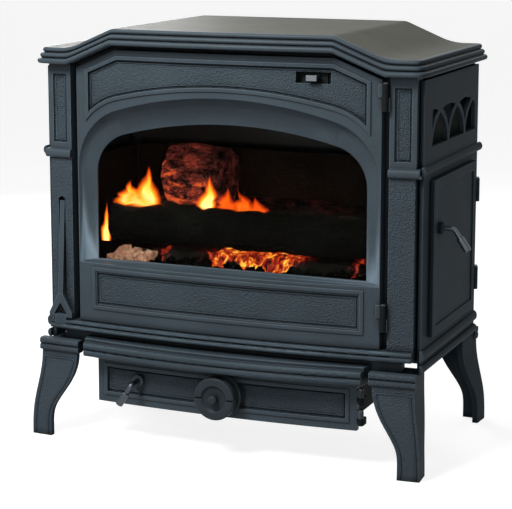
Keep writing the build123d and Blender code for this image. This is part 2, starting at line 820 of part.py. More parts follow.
def vent_panel(side):
    roll_foot = VENT_BOTTOM - VENT_ROLL_DROP
    with BuildPart() as casting:
        add(side_wall(side, VENT_BOTTOM, WING_UNDER - VENT_HEAD_GAP, VENT_BOTTOM))
        add(side_moulding(side, roll_foot, roll_foot + VENT_ROLL_H, VENT_ROLL_FRONT, VENT_ROLL_REAR))
        add(cheek(vent_openings(), *side_range(side, SIDE_IN, SIDE_OUT)), mode=Mode.SUBTRACT)
    return casting.part


def vent_tray(side):
    """Shallow tray that closes the vent openings from inside."""
    front, rear = VENT_JAMBS[0] - TRAY_LAP, VENT_JAMBS[1] + TRAY_LAP / 2
    bottom, top = VENT_SILL - TRAY_LAP, VENT_SILL + VENT_ARCH + TRAY_LAP
    wall = TRAY_WALL
    with BuildPart() as tray:
        add(block(side_range(side, SIDE_IN - TRAY_DEPTH, SIDE_IN), (front, rear), (bottom, top)))
        add(block(side_range(side, SIDE_IN - TRAY_DEPTH + wall, SIDE_IN), (front + wall, rear - wall),
                  (bottom + wall, top - wall)), mode=Mode.SUBTRACT)
    return tray.part


# Back plate with the flue outlet, its collar, and the sheet heat shield behind it
back_out = BACK_IN + CASTING
collar_face = back_out + CASTING
flue_bore = disc(0, FLUE_Z, FLUE_BORE_R)


def flue_bolt_circles(radius):
    """Circles at the places of the collar's bolts."""
    with BuildSketch() as circles:
        with Locations((0, FLUE_Z)):
            with PolarLocations(FLUE_BOLT_RING, FLUE_BOLTS, start_angle=45):
                Circle(radius)
    return circles.sketch


with BuildPart() as back_plate:
    add(slab(gable(SIDE_IN, BASE_BOTTOM), BACK_IN, back_out))
    add(slab(flue_bore, BACK_IN, back_out), mode=Mode.SUBTRACT)
    add(slab(flue_bolt_circles(FLUE_BOLT_R), BACK_IN, back_out), mode=Mode.SUBTRACT)

with BuildPart() as flue_collar:
    add(slab(disc(0, FLUE_Z, FLUE_FLANGE_R), back_out, collar_face))
    add(slab(disc(0, FLUE_Z, FLUE_BORE_R + FLUE_WALL), collar_face, FLUE_REACH))
    add(slab(flue_bore, back_out, FLUE_REACH), mode=Mode.SUBTRACT)
    add(slab(flue_bolt_circles(FLUE_BOLT_R), back_out, collar_face), mode=Mode.SUBTRACT)

with BuildPart() as flue_collar_bolts:
    add(slab(flue_bolt_circles(FLUE_BOLT_R), BACK_IN, collar_face))
    with BuildSketch(facing(collar_face + BOLT_HEAD)):
        with Locations((0, FLUE_Z)):
            with PolarLocations(FLUE_BOLT_RING, FLUE_BOLTS, start_angle=45):
                RegularPolygon(FLUE_BOLT_HEAD_R, 6)
    extrude(amount=BOLT_HEAD)

with BuildPart() as rear_heat_shield:
    with BuildSketch(facing(SHIELD_Y + SHIELD_T)):
        add(panel(-SHIELD_HALF, SHIELD_HALF, SHIELD_FOOT, SHIELD_HEAD))
        add(disc(0, FLUE_Z, SHIELD_HOLE_R), mode=Mode.SUBTRACT)
    extrude(amount=SHIELD_T)
    for side, _ in SIDES:
        add(block(side_range(side, SHIELD_HALF - SHIELD_T, SHIELD_HALF), (SHIELD_Y - SHIELD_FOLD, SHIELD_Y),
                  (SHIELD_FOOT, SHIELD_HEAD)))
        for z in (SHIELD_FOOT + STAND_OFF_IN, SHIELD_HEAD - STAND_OFF_IN):
            add(slab(disc(side * (SHIELD_HALF - STAND_OFF_IN), z, STAND_OFF_R), back_out, SHIELD_Y))

# Top plate: a roof-shaped casting with three stepped rolls around its edge and a pocket underneath
roof_step = ROOF_EDGE / ROOF_STEPS


def roof_plan(inset):
    """Plan of one step of the roof: bowed in front, with rounded corners."""
    half = ROOF_HALF - inset
    front = bow(half) - ROOF_FRONT + inset
    with BuildSketch() as plan:
        with BuildLine():
            ThreePointArc((-half, front), (0, inset - ROOF_FRONT), (half, front))
            Polyline((half, front), (half, ROOF_REAR - inset), (-half, ROOF_REAR - inset), (-half, front))
        make_face()
        fillet(plan.vertices(), radius=ROOF_CORNER - inset)
    return plan.sketch


def roof_band(foot, head):
    """Elevation of one step of the roof, between two heights above its underside."""
    reach = ROOF_HALF + ROOF_CORNER
    outline = [(reach, WING_UNDER), (WING_IN, WING_UNDER), (PLATEAU_HALF, PLATEAU_UNDER)]
    left = [(-x, z) for x, z in reversed(outline)]
    under = [(x, z + foot) for x, z in outline + left]
    over = [(x, z + head) for x, z in reversed(outline + left)]
    with BuildSketch() as band:
        with BuildLine():
            Polyline(*under, *over, close=True)
        make_face()
    return band.sketch


def roof_course(step):
    """One step of the roof; all but the top one are open underneath."""
    pocket = panel(-SIDE_FLANGE, SIDE_FLANGE, COLUMN_BACK + POCKET_LAP, BACK_IN - POCKET_LAP)
    with BuildPart() as course:
        add(slab(roof_band(step * roof_step, (step + 1) * roof_step), -ROOF_FRONT, ROOF_REAR))
        with BuildSketch(level(0)):
            add(roof_plan(step * ROOF_STEP_IN))
            if step < ROOF_STEPS - 1:
                add(pocket, mode=Mode.SUBTRACT)
        extrude(amount=HEIGHT, mode=Mode.INTERSECT)
    return course.part


with BuildPart() as top_plate:
    for step in range(ROOF_STEPS):
        add(roof_course(step))

# Firebox: brick floor and linings, grate, baffle and the fence that keeps the logs off the glass
lining_face = BACK_IN - BRICK_GAP - LINING_T
brick_out = SIDE_IN - BRICK_GAP
notch_in = BASE_NOTCH_IN - BRICK_GAP
notch_back = BASE_NOTCH + BRICK_GAP
with BuildPart() as floor_bricks:
    with BuildSketch(level(BASE_TOP)):
        add(panel(-brick_out, brick_out, notch_back, BACK_IN - BRICK_GAP))
        add(panel(-notch_in, notch_in, FLOOR_FRONT, notch_back))
        add(chute_face, mode=Mode.SUBTRACT)
    extrude(amount=FLOOR_T)
    with BuildSketch(level(FLOOR_TOP - GRATE_T)):
        add(grate_face)
    extrude(amount=GRATE_T, mode=Mode.SUBTRACT)

slot_pitch = 2 * (GRATE_HALF - CHUTE) / (GRATE_SLOTS + 1)
slot_length = GRATE_REAR - GRATE_FRONT - 2 * GRATE_BORDER
with BuildPart() as grate:
    with BuildSketch(level(FLOOR_TOP - GRATE_T)):
        add(grown(grate_face, -CLEAR))
        with Locations((0, (GRATE_FRONT + GRATE_REAR) / 2)):
            with GridLocations(slot_pitch, 0, GRATE_SLOTS, 1):
                SlotOverall(slot_length, GRATE_SLOT_W, rotation=90, mode=Mode.SUBTRACT)
    extrude(amount=GRATE_T)

with BuildPart() as left_lining:
    add(block((-brick_out, -brick_out + LINING_T), (notch_back, lining_face - BRICK_GAP),
              (FLOOR_TOP, LINING_TOP)))

with BuildPart() as rear_lining:
    add(block((-brick_out + LINING_T, brick_out - LINING_T), (lining_face, BACK_IN - BRICK_GAP),
              (FLOOR_TOP, LINING_TOP)))

baffle_half = SIDE_IN - TRAY_DEPTH - BAFFLE_GAP
baffle_rear = (BACK_IN - BRICK_GAP, LINING_TOP + CLEAR)
baffle_front = (BAFFLE_FRONT, LINING_TOP + CLEAR + BAFFLE_RISE)
with BuildPart() as baffle_plate:
    with BuildSketch(flank(-baffle_half)):
        with BuildLine():
            Polyline(baffle_rear, baffle_front, (baffle_front[0], baffle_front[1] + BAFFLE_T),
                     (baffle_rear[0], baffle_rear[1] + BAFFLE_T), close=True)
        make_face()
    extrude(amount=2 * baffle_half)

with BuildPart() as log_retainer:
    with BuildSketch(facing(FLOOR_FRONT + FENCE_T)):
        add(panel(-FENCE_HALF, FENCE_HALF, FLOOR_TOP, FLOOR_TOP + FENCE_H))
        with Locations((0, FLOOR_TOP + FENCE_H / 2)):
            with GridLocations(2 * FENCE_HALF / (FENCE_SLOTS + 1), 0, FENCE_SLOTS, 1):
                SlotOverall(FENCE_H - 2 * FENCE_BORDER, FENCE_SLOT_W, rotation=90, mode=Mode.SUBTRACT)
    extrude(amount=FENCE_T)

# Fire bed: a mound of ash and embers, and three logs stacked on it
bed_front = FLOOR_FRONT + FENCE_T + BED_GAP
bed_rear = lining_face - BRICK_GAP
bed_crest = FLOOR_TOP + BED_CREST
with BuildPart() as ember_bed:
    with BuildSketch(flank(-BED_HALF)):
        with BuildLine():
            Polyline((bed_front, FLOOR_TOP), (bed_rear, FLOOR_TOP), (bed_rear, FLOOR_TOP + BED_TAIL),
                     (LOG_BACK_Y, bed_crest), (LOG_FRONT_Y, bed_crest), (bed_front, FLOOR_TOP + BED_LIP),
                     close=True)
        make_face()
    extrude(amount=2 * BED_HALF)

log_z = bed_crest + LOG_R + CLEAR
log_rise = sqrt((LOG_R + LOG_TOP_R + CLEAR) ** 2 - ((LOG_BACK_Y - LOG_FRONT_Y) / 2) ** 2)
with BuildPart() as logs:
    add(cheek(disc(LOG_FRONT_Y, log_z, LOG_R), *LOG_FRONT_SPAN))
    add(cheek(disc(LOG_BACK_Y, log_z, LOG_R), *LOG_BACK_SPAN))
    add(cheek(disc((LOG_FRONT_Y + LOG_BACK_Y) / 2, log_z + log_rise, LOG_TOP_R), *LOG_TOP_SPAN))

# Ash box under the base, with its pan
ash_face = panel(-ASH_HALF, ASH_HALF, ASH_BOTTOM, ASH_TOP)
flange_back = ASH_FLANGE + SHEET
flange_half = ASH_HALF - ASH_FLANGE_LAP
ash_tab = ((ASH_HINGE_X - ASH_EYE_R + BITE, ASH_HINGE_X + ASH_EYE_R), (ASH_HINGE_Y, flange_back))
with BuildPart() as ash_box:
    add(block((-ASH_BOX_HALF, ASH_BOX_HALF), (flange_back, ASH_BOX_REAR), (ASH_FLOOR, BASE_BOTTOM)))
    add(block((-ASH_BOX_HALF + SHEET, ASH_BOX_HALF - SHEET), (flange_back, ASH_BOX_REAR - SHEET),
              (ASH_FLOOR + SHEET, BASE_BOTTOM)), mode=Mode.SUBTRACT)
    add(slab(panel(-flange_half, flange_half, ASH_BOTTOM + ASH_FLANGE_LAP, BASE_BOTTOM),
             ASH_FLANGE, flange_back))
    add(slab(grown(ash_face, -ASH_SEAT), ASH_FLANGE, flange_back), mode=Mode.SUBTRACT)
    for foot in ASH_HINGE_FEET:
        add(block((flange_half, ASH_HINGE_X + ASH_EYE_R), (ASH_FLANGE, flange_back),
                  (foot, foot + ASH_EYE_H)))
        add(fixed_eye(ASH_HINGE_X, ASH_HINGE_Y, ASH_EYE_R, foot, ASH_EYE_H, ash_tab))

pan_half = ASH_BOX_HALF - SHEET - PAN_GAP
pan_front = flange_back + PAN_GAP
pan_rear = ASH_BOX_REAR - SHEET - PAN_GAP
pan_foot = ASH_FLOOR + SHEET
with BuildPart() as ash_pan:
    add(block((-pan_half, pan_half), (pan_front, pan_rear), (pan_foot, PAN_TOP)))
    add(block((-pan_half + PAN_T, pan_half - PAN_T), (pan_front + PAN_T, pan_rear - PAN_T),
              (pan_foot + PAN_T, PAN_TOP)), mode=Mode.SUBTRACT)

# Legs: hollow cabriole castings with two walls, a two-roll cap in front and a web bolted under the base
leg_along = Vector(-cos(radians(LEG_TURN)), -sin(radians(LEG_TURN)), 0)
leg_across = Vector(-sin(radians(LEG_TURN)), cos(radians(LEG_TURN)), 0)
leg_corner = Vector(MID_X + FOOT_REACH, MID_Y + FOOT_FRONT, 0)


def leg_silhouette(shift):
    """Side view of a leg from its outermost point inwards: a kicked foot under a wide shoulder."""
    foot = shift + LEG_FOOT_WIDTH
    shoulder = shift + LEG_SHOULDER
    ankle = foot + ANKLE_SWELL * (shoulder - foot)
    knee = foot + KNEE_SWELL * (shoulder - foot)
    ankle_z = ANKLE_RISE * LEG_STEM
    knee_z = KNEE_RISE * LEG_STEM
    with BuildSketch() as face:
        with BuildLine():
            Spline((shift, 0), (shift + ANKLE_KICK * LEG_KICK, ankle_z), (shift + LEG_KICK, LEG_STEM),
                   tangents=((0, 1), (0, 1)))
            Line((shift + LEG_KICK, LEG_STEM), (shoulder, LEG_STEM))
            Spline((shoulder, LEG_STEM), (knee, knee_z), (ankle, ankle_z), (foot, 0),
                   tangents=((0, -1), (0, -1)))
            Line((foot, 0), (shift, 0))
        make_face()
    return face.sketch


def leg_view(run, shift):
    """The leg's silhouette run out both ways, seen along one of its walls."""
    with BuildPart() as view:
        with BuildSketch(Plane(origin=leg_corner, x_dir=run, z_dir=run.cross(Vector(0, 0, 1)))):
            add(leg_silhouette(shift))
        extrude(amount=2 * LEG_SHOULDER, both=True)
    return view.part


def leg_form(shift):
    """Solid whose front and side views are both the leg's silhouette."""
    with BuildPart() as form:
        add(leg_view(leg_along, shift))
        add(leg_view(leg_across, shift), mode=Mode.INTERSECT)
    return form.part


def leg_block(along, across, heights):
    """Block beside the foot's corner, measured inwards along the leg's two walls."""
    with BuildPart() as result:
        with BuildSketch(Plane(origin=leg_corner + Vector(0, 0, heights[0]), x_dir=leg_along)):
            add(panel(*along, -across[1], -across[0]))
        extrude(amount=heights[1] - heights[0])
    return result.part


def leg_cap(step):
    """One roll of the cap in front of a leg's shoulder."""
    foot = LEG_STEM + step * LEG_ROLL
    with BuildPart() as roll:
        add(leg_block((CAP_OUT, CAP_IN), (CAP_FRONT, CAP_BACK), (foot, foot + LEG_ROLL)))
        fillet(roll.edges().filter_by(Axis(leg_corner, leg_along)), radius=ROLL_ROUND * LEG_ROLL)
    return roll.part


def corner_leg(side, rear):
    """A leg for one corner, mirrored from the front right one."""
    middle = Vector(MID_X, MID_Y + (FOOT_FRONT + FOOT_REAR) / 2, 0)
    with BuildPart() as leg:
        add(leg_form(0))
        add(leg_form(LEG_WALL), mode=Mode.SUBTRACT)
        add(leg_block((LEG_KICK, LEG_SHOULDER), (LEG_KICK, LEG_SHOULDER), (LEG_STEM, BASE_BOTTOM)))
        for step in range(2):
            add(leg_cap(step))
        add(upright(LEG_BOLT_X, LEG_BOLT_Y, BOLT_R, LEG_STEM, BASE_BOTTOM), mode=Mode.SUBTRACT)
        if side < 0:
            mirror(about=Plane(origin=middle, z_dir=(1, 0, 0)), mode=Mode.REPLACE)
        if rear:
            mirror(about=Plane(origin=middle, z_dir=(0, 1, 0)), mode=Mode.REPLACE)
    return leg.part


with BuildPart() as leg_bolts:
    for x, y in leg_bolt_places:
        add(upright(x, y, BOLT_R, LEG_STEM, BASE_BOTTOM + BOLT_BITE))
    with BuildSketch(level(LEG_STEM - BOLT_HEAD)):
        with Locations(*leg_bolt_places):
            RegularPolygon(BOLT_HEAD_R, 6)
    extrude(amount=BOLT_HEAD)

# Front door: a bowed casting with a coved arch round the glass, beaded sunk fields and a rope-seal groove
door_face = gable(DOOR_HALF, DOOR_BOTTOM, DOOR_GAP)
door_seal_path = ring(grown(door_face, -SEAL_IN - SEAL_W), SEAL_W)
door_arm = ((DOOR_HALF - HINGE_ARM, HINGE_X), (HINGE_Y, HINGE_Y + HINGE_ARM_T))
lower_field = panel(-LOWER_FIELD_HALF, LOWER_FIELD_HALF, LOWER_FIELD_BOTTOM, LOWER_FIELD_TOP)
splay_half = GLASS_HALF + SPLAY_SIDE
splay_crown = GLASS_CROWN + SPLAY_TOP
slide_slot = panel(SLOT_X - SLOT_W / 2, SLOT_X + SLOT_W / 2, SLOT_Z - SLOT_H / 2, SLOT_Z + SLOT_H / 2)
glass_front = DOOR_BACK + GASKET_T
glass_back = glass_front + GLASS_T
gasket_out = GLASS_LAP - GASKET_SET


def upper_field(grow):
    """Spandrel field between the arch bead and the sloping top of the door."""
    return between(gable(FIELD_HALF + grow, GLASS_CROWN - GLASS_CORNER_R, FIELD_INSET - grow),
                   arch(FIELD_ARCH_HALF - grow, GLASS_SILL, FIELD_ARCH_CROWN - grow, FIELD_ARCH_R - grow,
                        FIELD_ARCH_CORNER - grow))


def upper_pocket():
    """Hollow behind the upper field, inside the door's rim."""
    return between(gable(DOOR_HALF - DOOR_RIM, GLASS_CROWN - GLASS_CORNER_R, DOOR_GAP + DOOR_RIM),
                   arch(splay_half, GLASS_SILL, splay_crown + CASTING, SPLAY_CROWN_R, SPLAY_CORNER_R))


def splay_arch(share):
    """Arch of the rim round the glass, from share 0 at the glass to share 1 at the door's front."""
    return arch(GLASS_HALF + share * SPLAY_SIDE, GLASS_SILL - share * SPLAY_SILL,
                GLASS_CROWN + share * SPLAY_TOP, GLASS_CROWN_R + share * (SPLAY_CROWN_R - GLASS_CROWN_R),
                GLASS_CORNER_R + share * (SPLAY_CORNER_R - GLASS_CORNER_R))


def glass_splay():
    """Coved opening that narrows to the glass: steep at the door's front, flatter near the glass."""
    with BuildPart() as splay:
        with BuildSketch(facing(-SPLAY_FRONT)):
            add(splay_arch(1))
        with BuildSketch(facing(COVE_DEPTH)):
            add(splay_arch(COVE_SHARE))
        with BuildSketch(facing(DOOR_BACK - GLASS_LAND)):
            add(splay_arch(0))
        loft(ruled=True)
        add(slab(glass_arch(0), DOOR_BACK - GLASS_LAND, DOOR_BACK))
    return splay.part


def clip_places():
    """Places of the glass clips: x, the glass edge there, and the way out from the glass."""
    places = []
    for x in (-CLIP_X, 0, CLIP_X):
        places.append((x, GLASS_CROWN - bow(x, GLASS_CROWN_R) + GLASS_LAP, 1))
        places.append((x, GLASS_SILL - GLASS_LAP, -1))
    return places


def clip_screw(x, edge, way):
    """Middle of a clip's screw."""
    return x, edge + way * (CLIP_SLACK + CLIP_FOOT / 2)


def clip_holes():
    """Screw holes of the glass clips."""
    with BuildSketch() as holes:
        with Locations(*[clip_screw(*place) for place in clip_places()]):
            Circle(SCREW_R)
    return holes.sketch


with BuildPart() as front_door:
    add(raised(door_face, 0, DOOR_BACK))
    add(raised(upper_pocket(), -CASTING, DOOR_BACK), mode=Mode.SUBTRACT)
    add(raised(grown(lower_field, -BEAD), -CASTING, DOOR_BACK), mode=Mode.SUBTRACT)
    add(glass_splay(), mode=Mode.SUBTRACT)
    add(sunk(upper_field(0), FIELD_DEPTH), mode=Mode.SUBTRACT)
    add(sunk(lower_field, FIELD_DEPTH), mode=Mode.SUBTRACT)
    add(bead(between(upper_field(BEAD), upper_field(0))))
    add(bead(ring(grown(lower_field, LOWER_BEAD_SET), BEAD)))
    add(raised(grown(slide_slot, GUIDE_LAP / 2), -FIELD_DEPTH, SLIDE_FACE))
    add(slab(slide_slot, -SLIDE_FACE, SLIDE_FACE), mode=Mode.SUBTRACT)
    add(slab(door_seal_path, DOOR_BACK - SEAL_DEPTH, DOOR_BACK), mode=Mode.SUBTRACT)
    add(slab(clip_holes(), DOOR_BACK - SCREW_DEPTH, DOOR_BACK), mode=Mode.SUBTRACT)
    for foot in HINGE_FEET:
        add(moving_eye(HINGE_X, HINGE_Y, HINGE_EYE_R, foot, HINGE_EYE_H, door_arm))

with BuildPart() as front_hinge_pins:
    for foot in HINGE_FEET:
        add(hinge_pin(HINGE_X, HINGE_Y, foot, HINGE_EYE_H))

with BuildPart() as glass_gasket:
    add(slab(between(glass_arch(gasket_out), glass_arch(gasket_out - GASKET_W)), DOOR_BACK, glass_front))

with BuildPart() as door_glass:
    add(slab(glass_arch(GLASS_LAP), glass_front, glass_back))

with BuildPart() as glass_clips:
    for x, edge, way in clip_places():
        limits = (x - CLIP_W / 2, x + CLIP_W / 2)
        foot = sorted((edge + way * CLIP_SLACK, edge + way * (CLIP_SLACK + CLIP_FOOT)))
        lip = sorted((edge - way * CLIP_GRIP, edge + way * CLIP_SLACK))
        add(block(limits, (DOOR_BACK, glass_back + CLIP_T), foot))
        add(block(limits, (glass_back, glass_back + CLIP_T), lip))
    add(slab(clip_holes(), DOOR_BACK, glass_back + CLIP_T), mode=Mode.SUBTRACT)

with BuildPart() as glass_clip_screws:
    add(slab(clip_holes(), DOOR_BACK - SCREW_DEPTH, glass_back + CLIP_T))
    for place in clip_places():
        add(slab(disc(*clip_screw(*place), SCREW_HEAD_R), glass_back + CLIP_T,
                 glass_back + CLIP_T + SCREW_HEAD_T))

with BuildPart() as door_rope_seal:
    add(slab(door_seal_path, DOOR_BACK - SEAL_DEPTH, FRAME_FACE - CLEAR))

# Air slide: a plate with a knob in the slot, held in a folded guide behind the door
slide_plate = panel(SLOT_X - SLIDE_HALF, SLOT_X + SLIDE_HALF, SLOT_Z - SLOT_H / 2 - SLIDE_LAP,
                    SLOT_Z + SLOT_H / 2 + SLIDE_LAP)
slide_back = SLIDE_FACE + CLEAR + SLIDE_T
rail_in = SLOT_H / 2 + SLIDE_LAP + CLEAR
guide_span = (SLOT_X - SLOT_W / 2 - GUIDE_LAP, SLOT_X + SLOT_W / 2 + GUIDE_LAP)
with BuildPart() as slide_guide:
    add(slab(panel(*guide_span, SLOT_Z - rail_in - GUIDE_RAIL, SLOT_Z + rail_in + GUIDE_RAIL), SLIDE_FACE,
             slide_back + CLEAR + GUIDE_T))
    add(slab(panel(*guide_span, SLOT_Z - rail_in, SLOT_Z + rail_in), SLIDE_FACE, slide_back + CLEAR),
        mode=Mode.SUBTRACT)

with BuildPart() as air_slide:
    add(slab(slide_plate, SLIDE_FACE + CLEAR, slide_back))
    add(slab(panel(SLOT_X - SLIDE_KNOB_W / 2, SLOT_X + SLIDE_KNOB_W / 2, SLOT_Z - SLIDE_KNOB_H / 2,
                   SLOT_Z + SLIDE_KNOB_H / 2), -SLIDE_KNOB_FRONT, SLIDE_FACE + CLEAR))

# Latch lever: a forked foot on the ledge's lug and a bar that leans into the column's groove
fork_top = LATCH_Z + LATCH_FORK_H
fork_eyes = (-LATCH_X - LATCH_FORK_HALF, -LATCH_X + LATCH_FORK_HALF)
with BuildPart() as latch_lever:
    with BuildSketch(facing(latch_back)):
        with BuildLine():
            Polyline((fork_eyes[0], LATCH_Z), (fork_eyes[1], LATCH_Z), (fork_eyes[1], LATCH_Z + LATCH_RISE),
                     (-LATCH_X + LATCH_BAR_W / 2, fork_top), (-LATCH_X - LATCH_BAR_W / 2, fork_top),
                     (fork_eyes[0], LATCH_Z + LATCH_RISE), close=True)
        make_face()
        with BuildLine():
            Polyline((-LATCH_X - LATCH_FORK_IN, LATCH_Z), (-LATCH_X + LATCH_FORK_IN, LATCH_Z),
                     (-LATCH_X + LATCH_FORK_IN, LATCH_Z + LATCH_RISE), (-LATCH_X, LATCH_Z + LATCH_FORK_ROOF),
                     (-LATCH_X - LATCH_FORK_IN, LATCH_Z + LATCH_RISE), close=True)
        make_face(mode=Mode.SUBTRACT)
    extrude(amount=LATCH_THICK)
    for inner, outer in ((fork_eyes[0], -LATCH_X - LATCH_FORK_IN), (-LATCH_X + LATCH_FORK_IN, fork_eyes[1])):
        add(cheek(disc(LATCH_Y, LATCH_Z, LATCH_THICK / 2), inner, outer))
        add(cheek(disc(LATCH_Y, LATCH_Z, LATCH_PIN_R + RUNNING), inner, outer), mode=Mode.SUBTRACT)
    with BuildSketch(flank(-LATCH_X - LATCH_BAR_W / 2)):
        with BuildLine():
            Polyline((latch_front, LATCH_Z + LATCH_SHOULDER), (latch_back, LATCH_Z + LATCH_SHOULDER),
                     (latch_front + LATCH_LEAN + LATCH_TIP_T, LATCH_TOP),
                     (latch_front + LATCH_LEAN, LATCH_TOP), close=True)
        make_face()
    extrude(amount=LATCH_BAR_W)

with BuildPart() as latch_pin:
    add(cheek(disc(LATCH_Y, LATCH_Z, LATCH_PIN_R), *fork_eyes))

# Side door: a flat casting with a raised border and a boss for its handle, and the rope seal it closes on
side_door_in = SIDE_OUT + SIDE_DOOR_GAP
side_door_out = side_door_in + SIDE_DOOR_T
side_arm = ((side_door_in, side_door_out), (SIDE_DOOR_REAR - HINGE_ARM, SIDE_HINGE_Y))
side_pivot = (SIDE_HANDLE_Y, SIDE_HANDLE_Z)
with BuildPart() as side_door:
    add(cheek(side_door_face, side_door_in, side_door_out))
    add(cheek(grown(side_door_face, -SIDE_DOOR_BORDER), side_door_out - BEAD_PROUD, side_door_out),
        mode=Mode.SUBTRACT)
    add(cheek(disc(*side_pivot, BOSS_R), side_door_in, side_door_out + BOSS_H))
    add(cheek(disc(*side_pivot, HANDLE_R + RUNNING), side_door_in, side_door_out + BOSS_H),
        mode=Mode.SUBTRACT)
    for foot in SIDE_HINGE_FEET:
        add(moving_eye(SIDE_HINGE_X, SIDE_HINGE_Y, HINGE_EYE_R, foot, SIDE_EYE_H, side_arm))

with BuildPart() as side_hinge_pins:
    for foot in SIDE_HINGE_FEET:
        add(hinge_pin(SIDE_HINGE_X, SIDE_HINGE_Y, foot, SIDE_EYE_H))

with BuildPart() as side_door_seal:
    add(cheek(side_seal_path, SIDE_OUT - SIDE_SEAL_DEPTH, side_door_in - CLEAR))


# Turning handles: a bent rod through a boss, a round grip on its end and a cam inside the door
grip_round = GRIP_R - HANDLE_R


def handle_rod(start, elbow, tip):
    """Round rod bent once, from its inner end to just inside the grip's end."""
    end = tip - (tip - elbow).normalized() * GRIP_END
    with BuildPart() as rod:
        with BuildLine() as path:
            FilletPolyline(start, elbow, end, radius=HANDLE_BEND)
        with BuildSketch(Plane(origin=path.line @ 0, z_dir=path.line % 0)):
            Circle(HANDLE_R)
        sweep()
    return rod.part


def handle_grip(elbow, tip):
    """Rounded grip on the last stretch of a handle rod."""
    way = (tip - elbow).normalized()
    with BuildPart() as grip:
        with BuildSketch(Plane(origin=tip - way * GRIP_LENGTH, z_dir=way)):
            Circle(GRIP_R)
        extrude(amount=GRIP_LENGTH)
        fillet(grip.edges(), radius=grip_round)
        with BuildSketch(Plane(origin=tip - way * GRIP_LENGTH, z_dir=way)):
            Circle(HANDLE_R)
        extrude(amount=GRIP_LENGTH - GRIP_END, mode=Mode.SUBTRACT)
    return grip.part


def cam_face(x, y, turn):
    """Round-ended cam that points to its local left from its pivot, turned about it."""
    reach = CAM_LENGTH + CAM_W / 2
    way = radians(turn)
    middle = CAM_LENGTH - reach / 2
    with BuildSketch() as face:
        with Locations((x - middle * cos(way), y - middle * sin(way))):
            SlotOverall(reach, CAM_W, rotation=turn)
        add(disc(x, y, HANDLE_R), mode=Mode.SUBTRACT)
    return face.sketch


def spot(x, y, z):
    """Point in the stove's own axes."""
    return Vector(MID_X + x, MID_Y + y, z)


side_cam_out = SIDE_IN - CAM_GAP - SHEET
side_cam_in = side_cam_out - CAM_T
side_way = Vector(sin(radians(HANDLE_LEAN)), 0, -cos(radians(HANDLE_LEAN)))
side_tip_x = SIDE_REACH - grip_round * (1 - side_way.X) + (GRIP_R - grip_round) * side_way.Z
side_elbow = spot(side_tip_x, *side_pivot) - Vector(side_way.X * HANDLE_DROP, 0, 0)
side_tip = side_elbow + side_way * HANDLE_DROP
with BuildPart() as side_handle:
    add(handle_rod(spot(side_cam_in - CAM_END, *side_pivot), side_elbow, side_tip))

with BuildPart() as side_grip:
    add(handle_grip(side_elbow, side_tip))

with BuildPart() as side_latch_cam:
    add(cheek(cam_face(*side_pivot, 90), side_cam_in, side_cam_out))

# Ash door: a bowed casting with a beaded field, an air opening in the wheel's seat and a boss for its handle
ash_field = grown(ash_face, -ASH_FIELD_IN)
ash_seal_path = ring(grown(ash_face, -ASH_SEAL_IN - SEAL_W), SEAL_W)
ash_arm = ((ASH_HALF - HINGE_ARM, ASH_HINGE_X), (ASH_HINGE_Y, ASH_HINGE_Y + HINGE_ARM_T))
ash_pivot = (-ASH_HANDLE_X, ASH_HANDLE_Z)
ash_boss_front = bow(ASH_HANDLE_X) - BOSS_H
seat_face = disc(0, WHEEL_Z, SEAT_R)


def air_openings():
    """Ring round the spindle's hub, crossed by spokes."""
    with BuildSketch() as openings:
        add(between(disc(0, WHEEL_Z, AIR_R), disc(0, WHEEL_Z, AIR_HUB_R)))
        with Locations((0, WHEEL_Z)):
            with PolarLocations(AIR_R / 2, AIR_SPOKES, start_angle=90):
                Rectangle(AIR_R, AIR_SPOKE_W, mode=Mode.SUBTRACT)
    return openings.sketch


with BuildPart() as ash_door:
    add(raised(ash_face, 0, ASH_DOOR_BACK))
    add(raised(grown(ash_face, -ASH_POCKET_IN), -CASTING, ASH_DOOR_BACK), mode=Mode.SUBTRACT)
    add(sunk(between(ash_field, seat_face), FIELD_DEPTH), mode=Mode.SUBTRACT)
    add(bead(between(ring(ash_field, BEAD), seat_face)))
    add(slab(between(seat_face, disc(0, WHEEL_Z, AIR_R)), -SEAT_H, CASTING / 2))
    add(slab(air_openings(), -SEAT_H, ASH_DOOR_BACK), mode=Mode.SUBTRACT)
    add(slab(disc(0, WHEEL_Z, SPINDLE_R), -SEAT_H, ASH_DOOR_BACK), mode=Mode.SUBTRACT)
    add(slab(disc(*ash_pivot, BOSS_R), ash_boss_front, bow(ASH_HANDLE_X) + CASTING))
    add(slab(disc(*ash_pivot, HANDLE_R + RUNNING), ash_boss_front, ASH_DOOR_BACK), mode=Mode.SUBTRACT)
    add(slab(ash_seal_path, ASH_DOOR_BACK - ASH_SEAL_DEPTH, ASH_DOOR_BACK), mode=Mode.SUBTRACT)
    for foot in ASH_HINGE_FEET:
        add(moving_eye(ASH_HINGE_X, ASH_HINGE_Y, ASH_EYE_R, foot, ASH_EYE_H, ash_arm))

with BuildPart() as ash_hinge_pins:
    for foot in ASH_HINGE_FEET:
        add(hinge_pin(ASH_HINGE_X, ASH_HINGE_Y, foot, ASH_EYE_H))

with BuildPart() as ash_door_seal:
    add(slab(ash_seal_path, ASH_DOOR_BACK - ASH_SEAL_DEPTH, ASH_FLANGE - CLEAR))

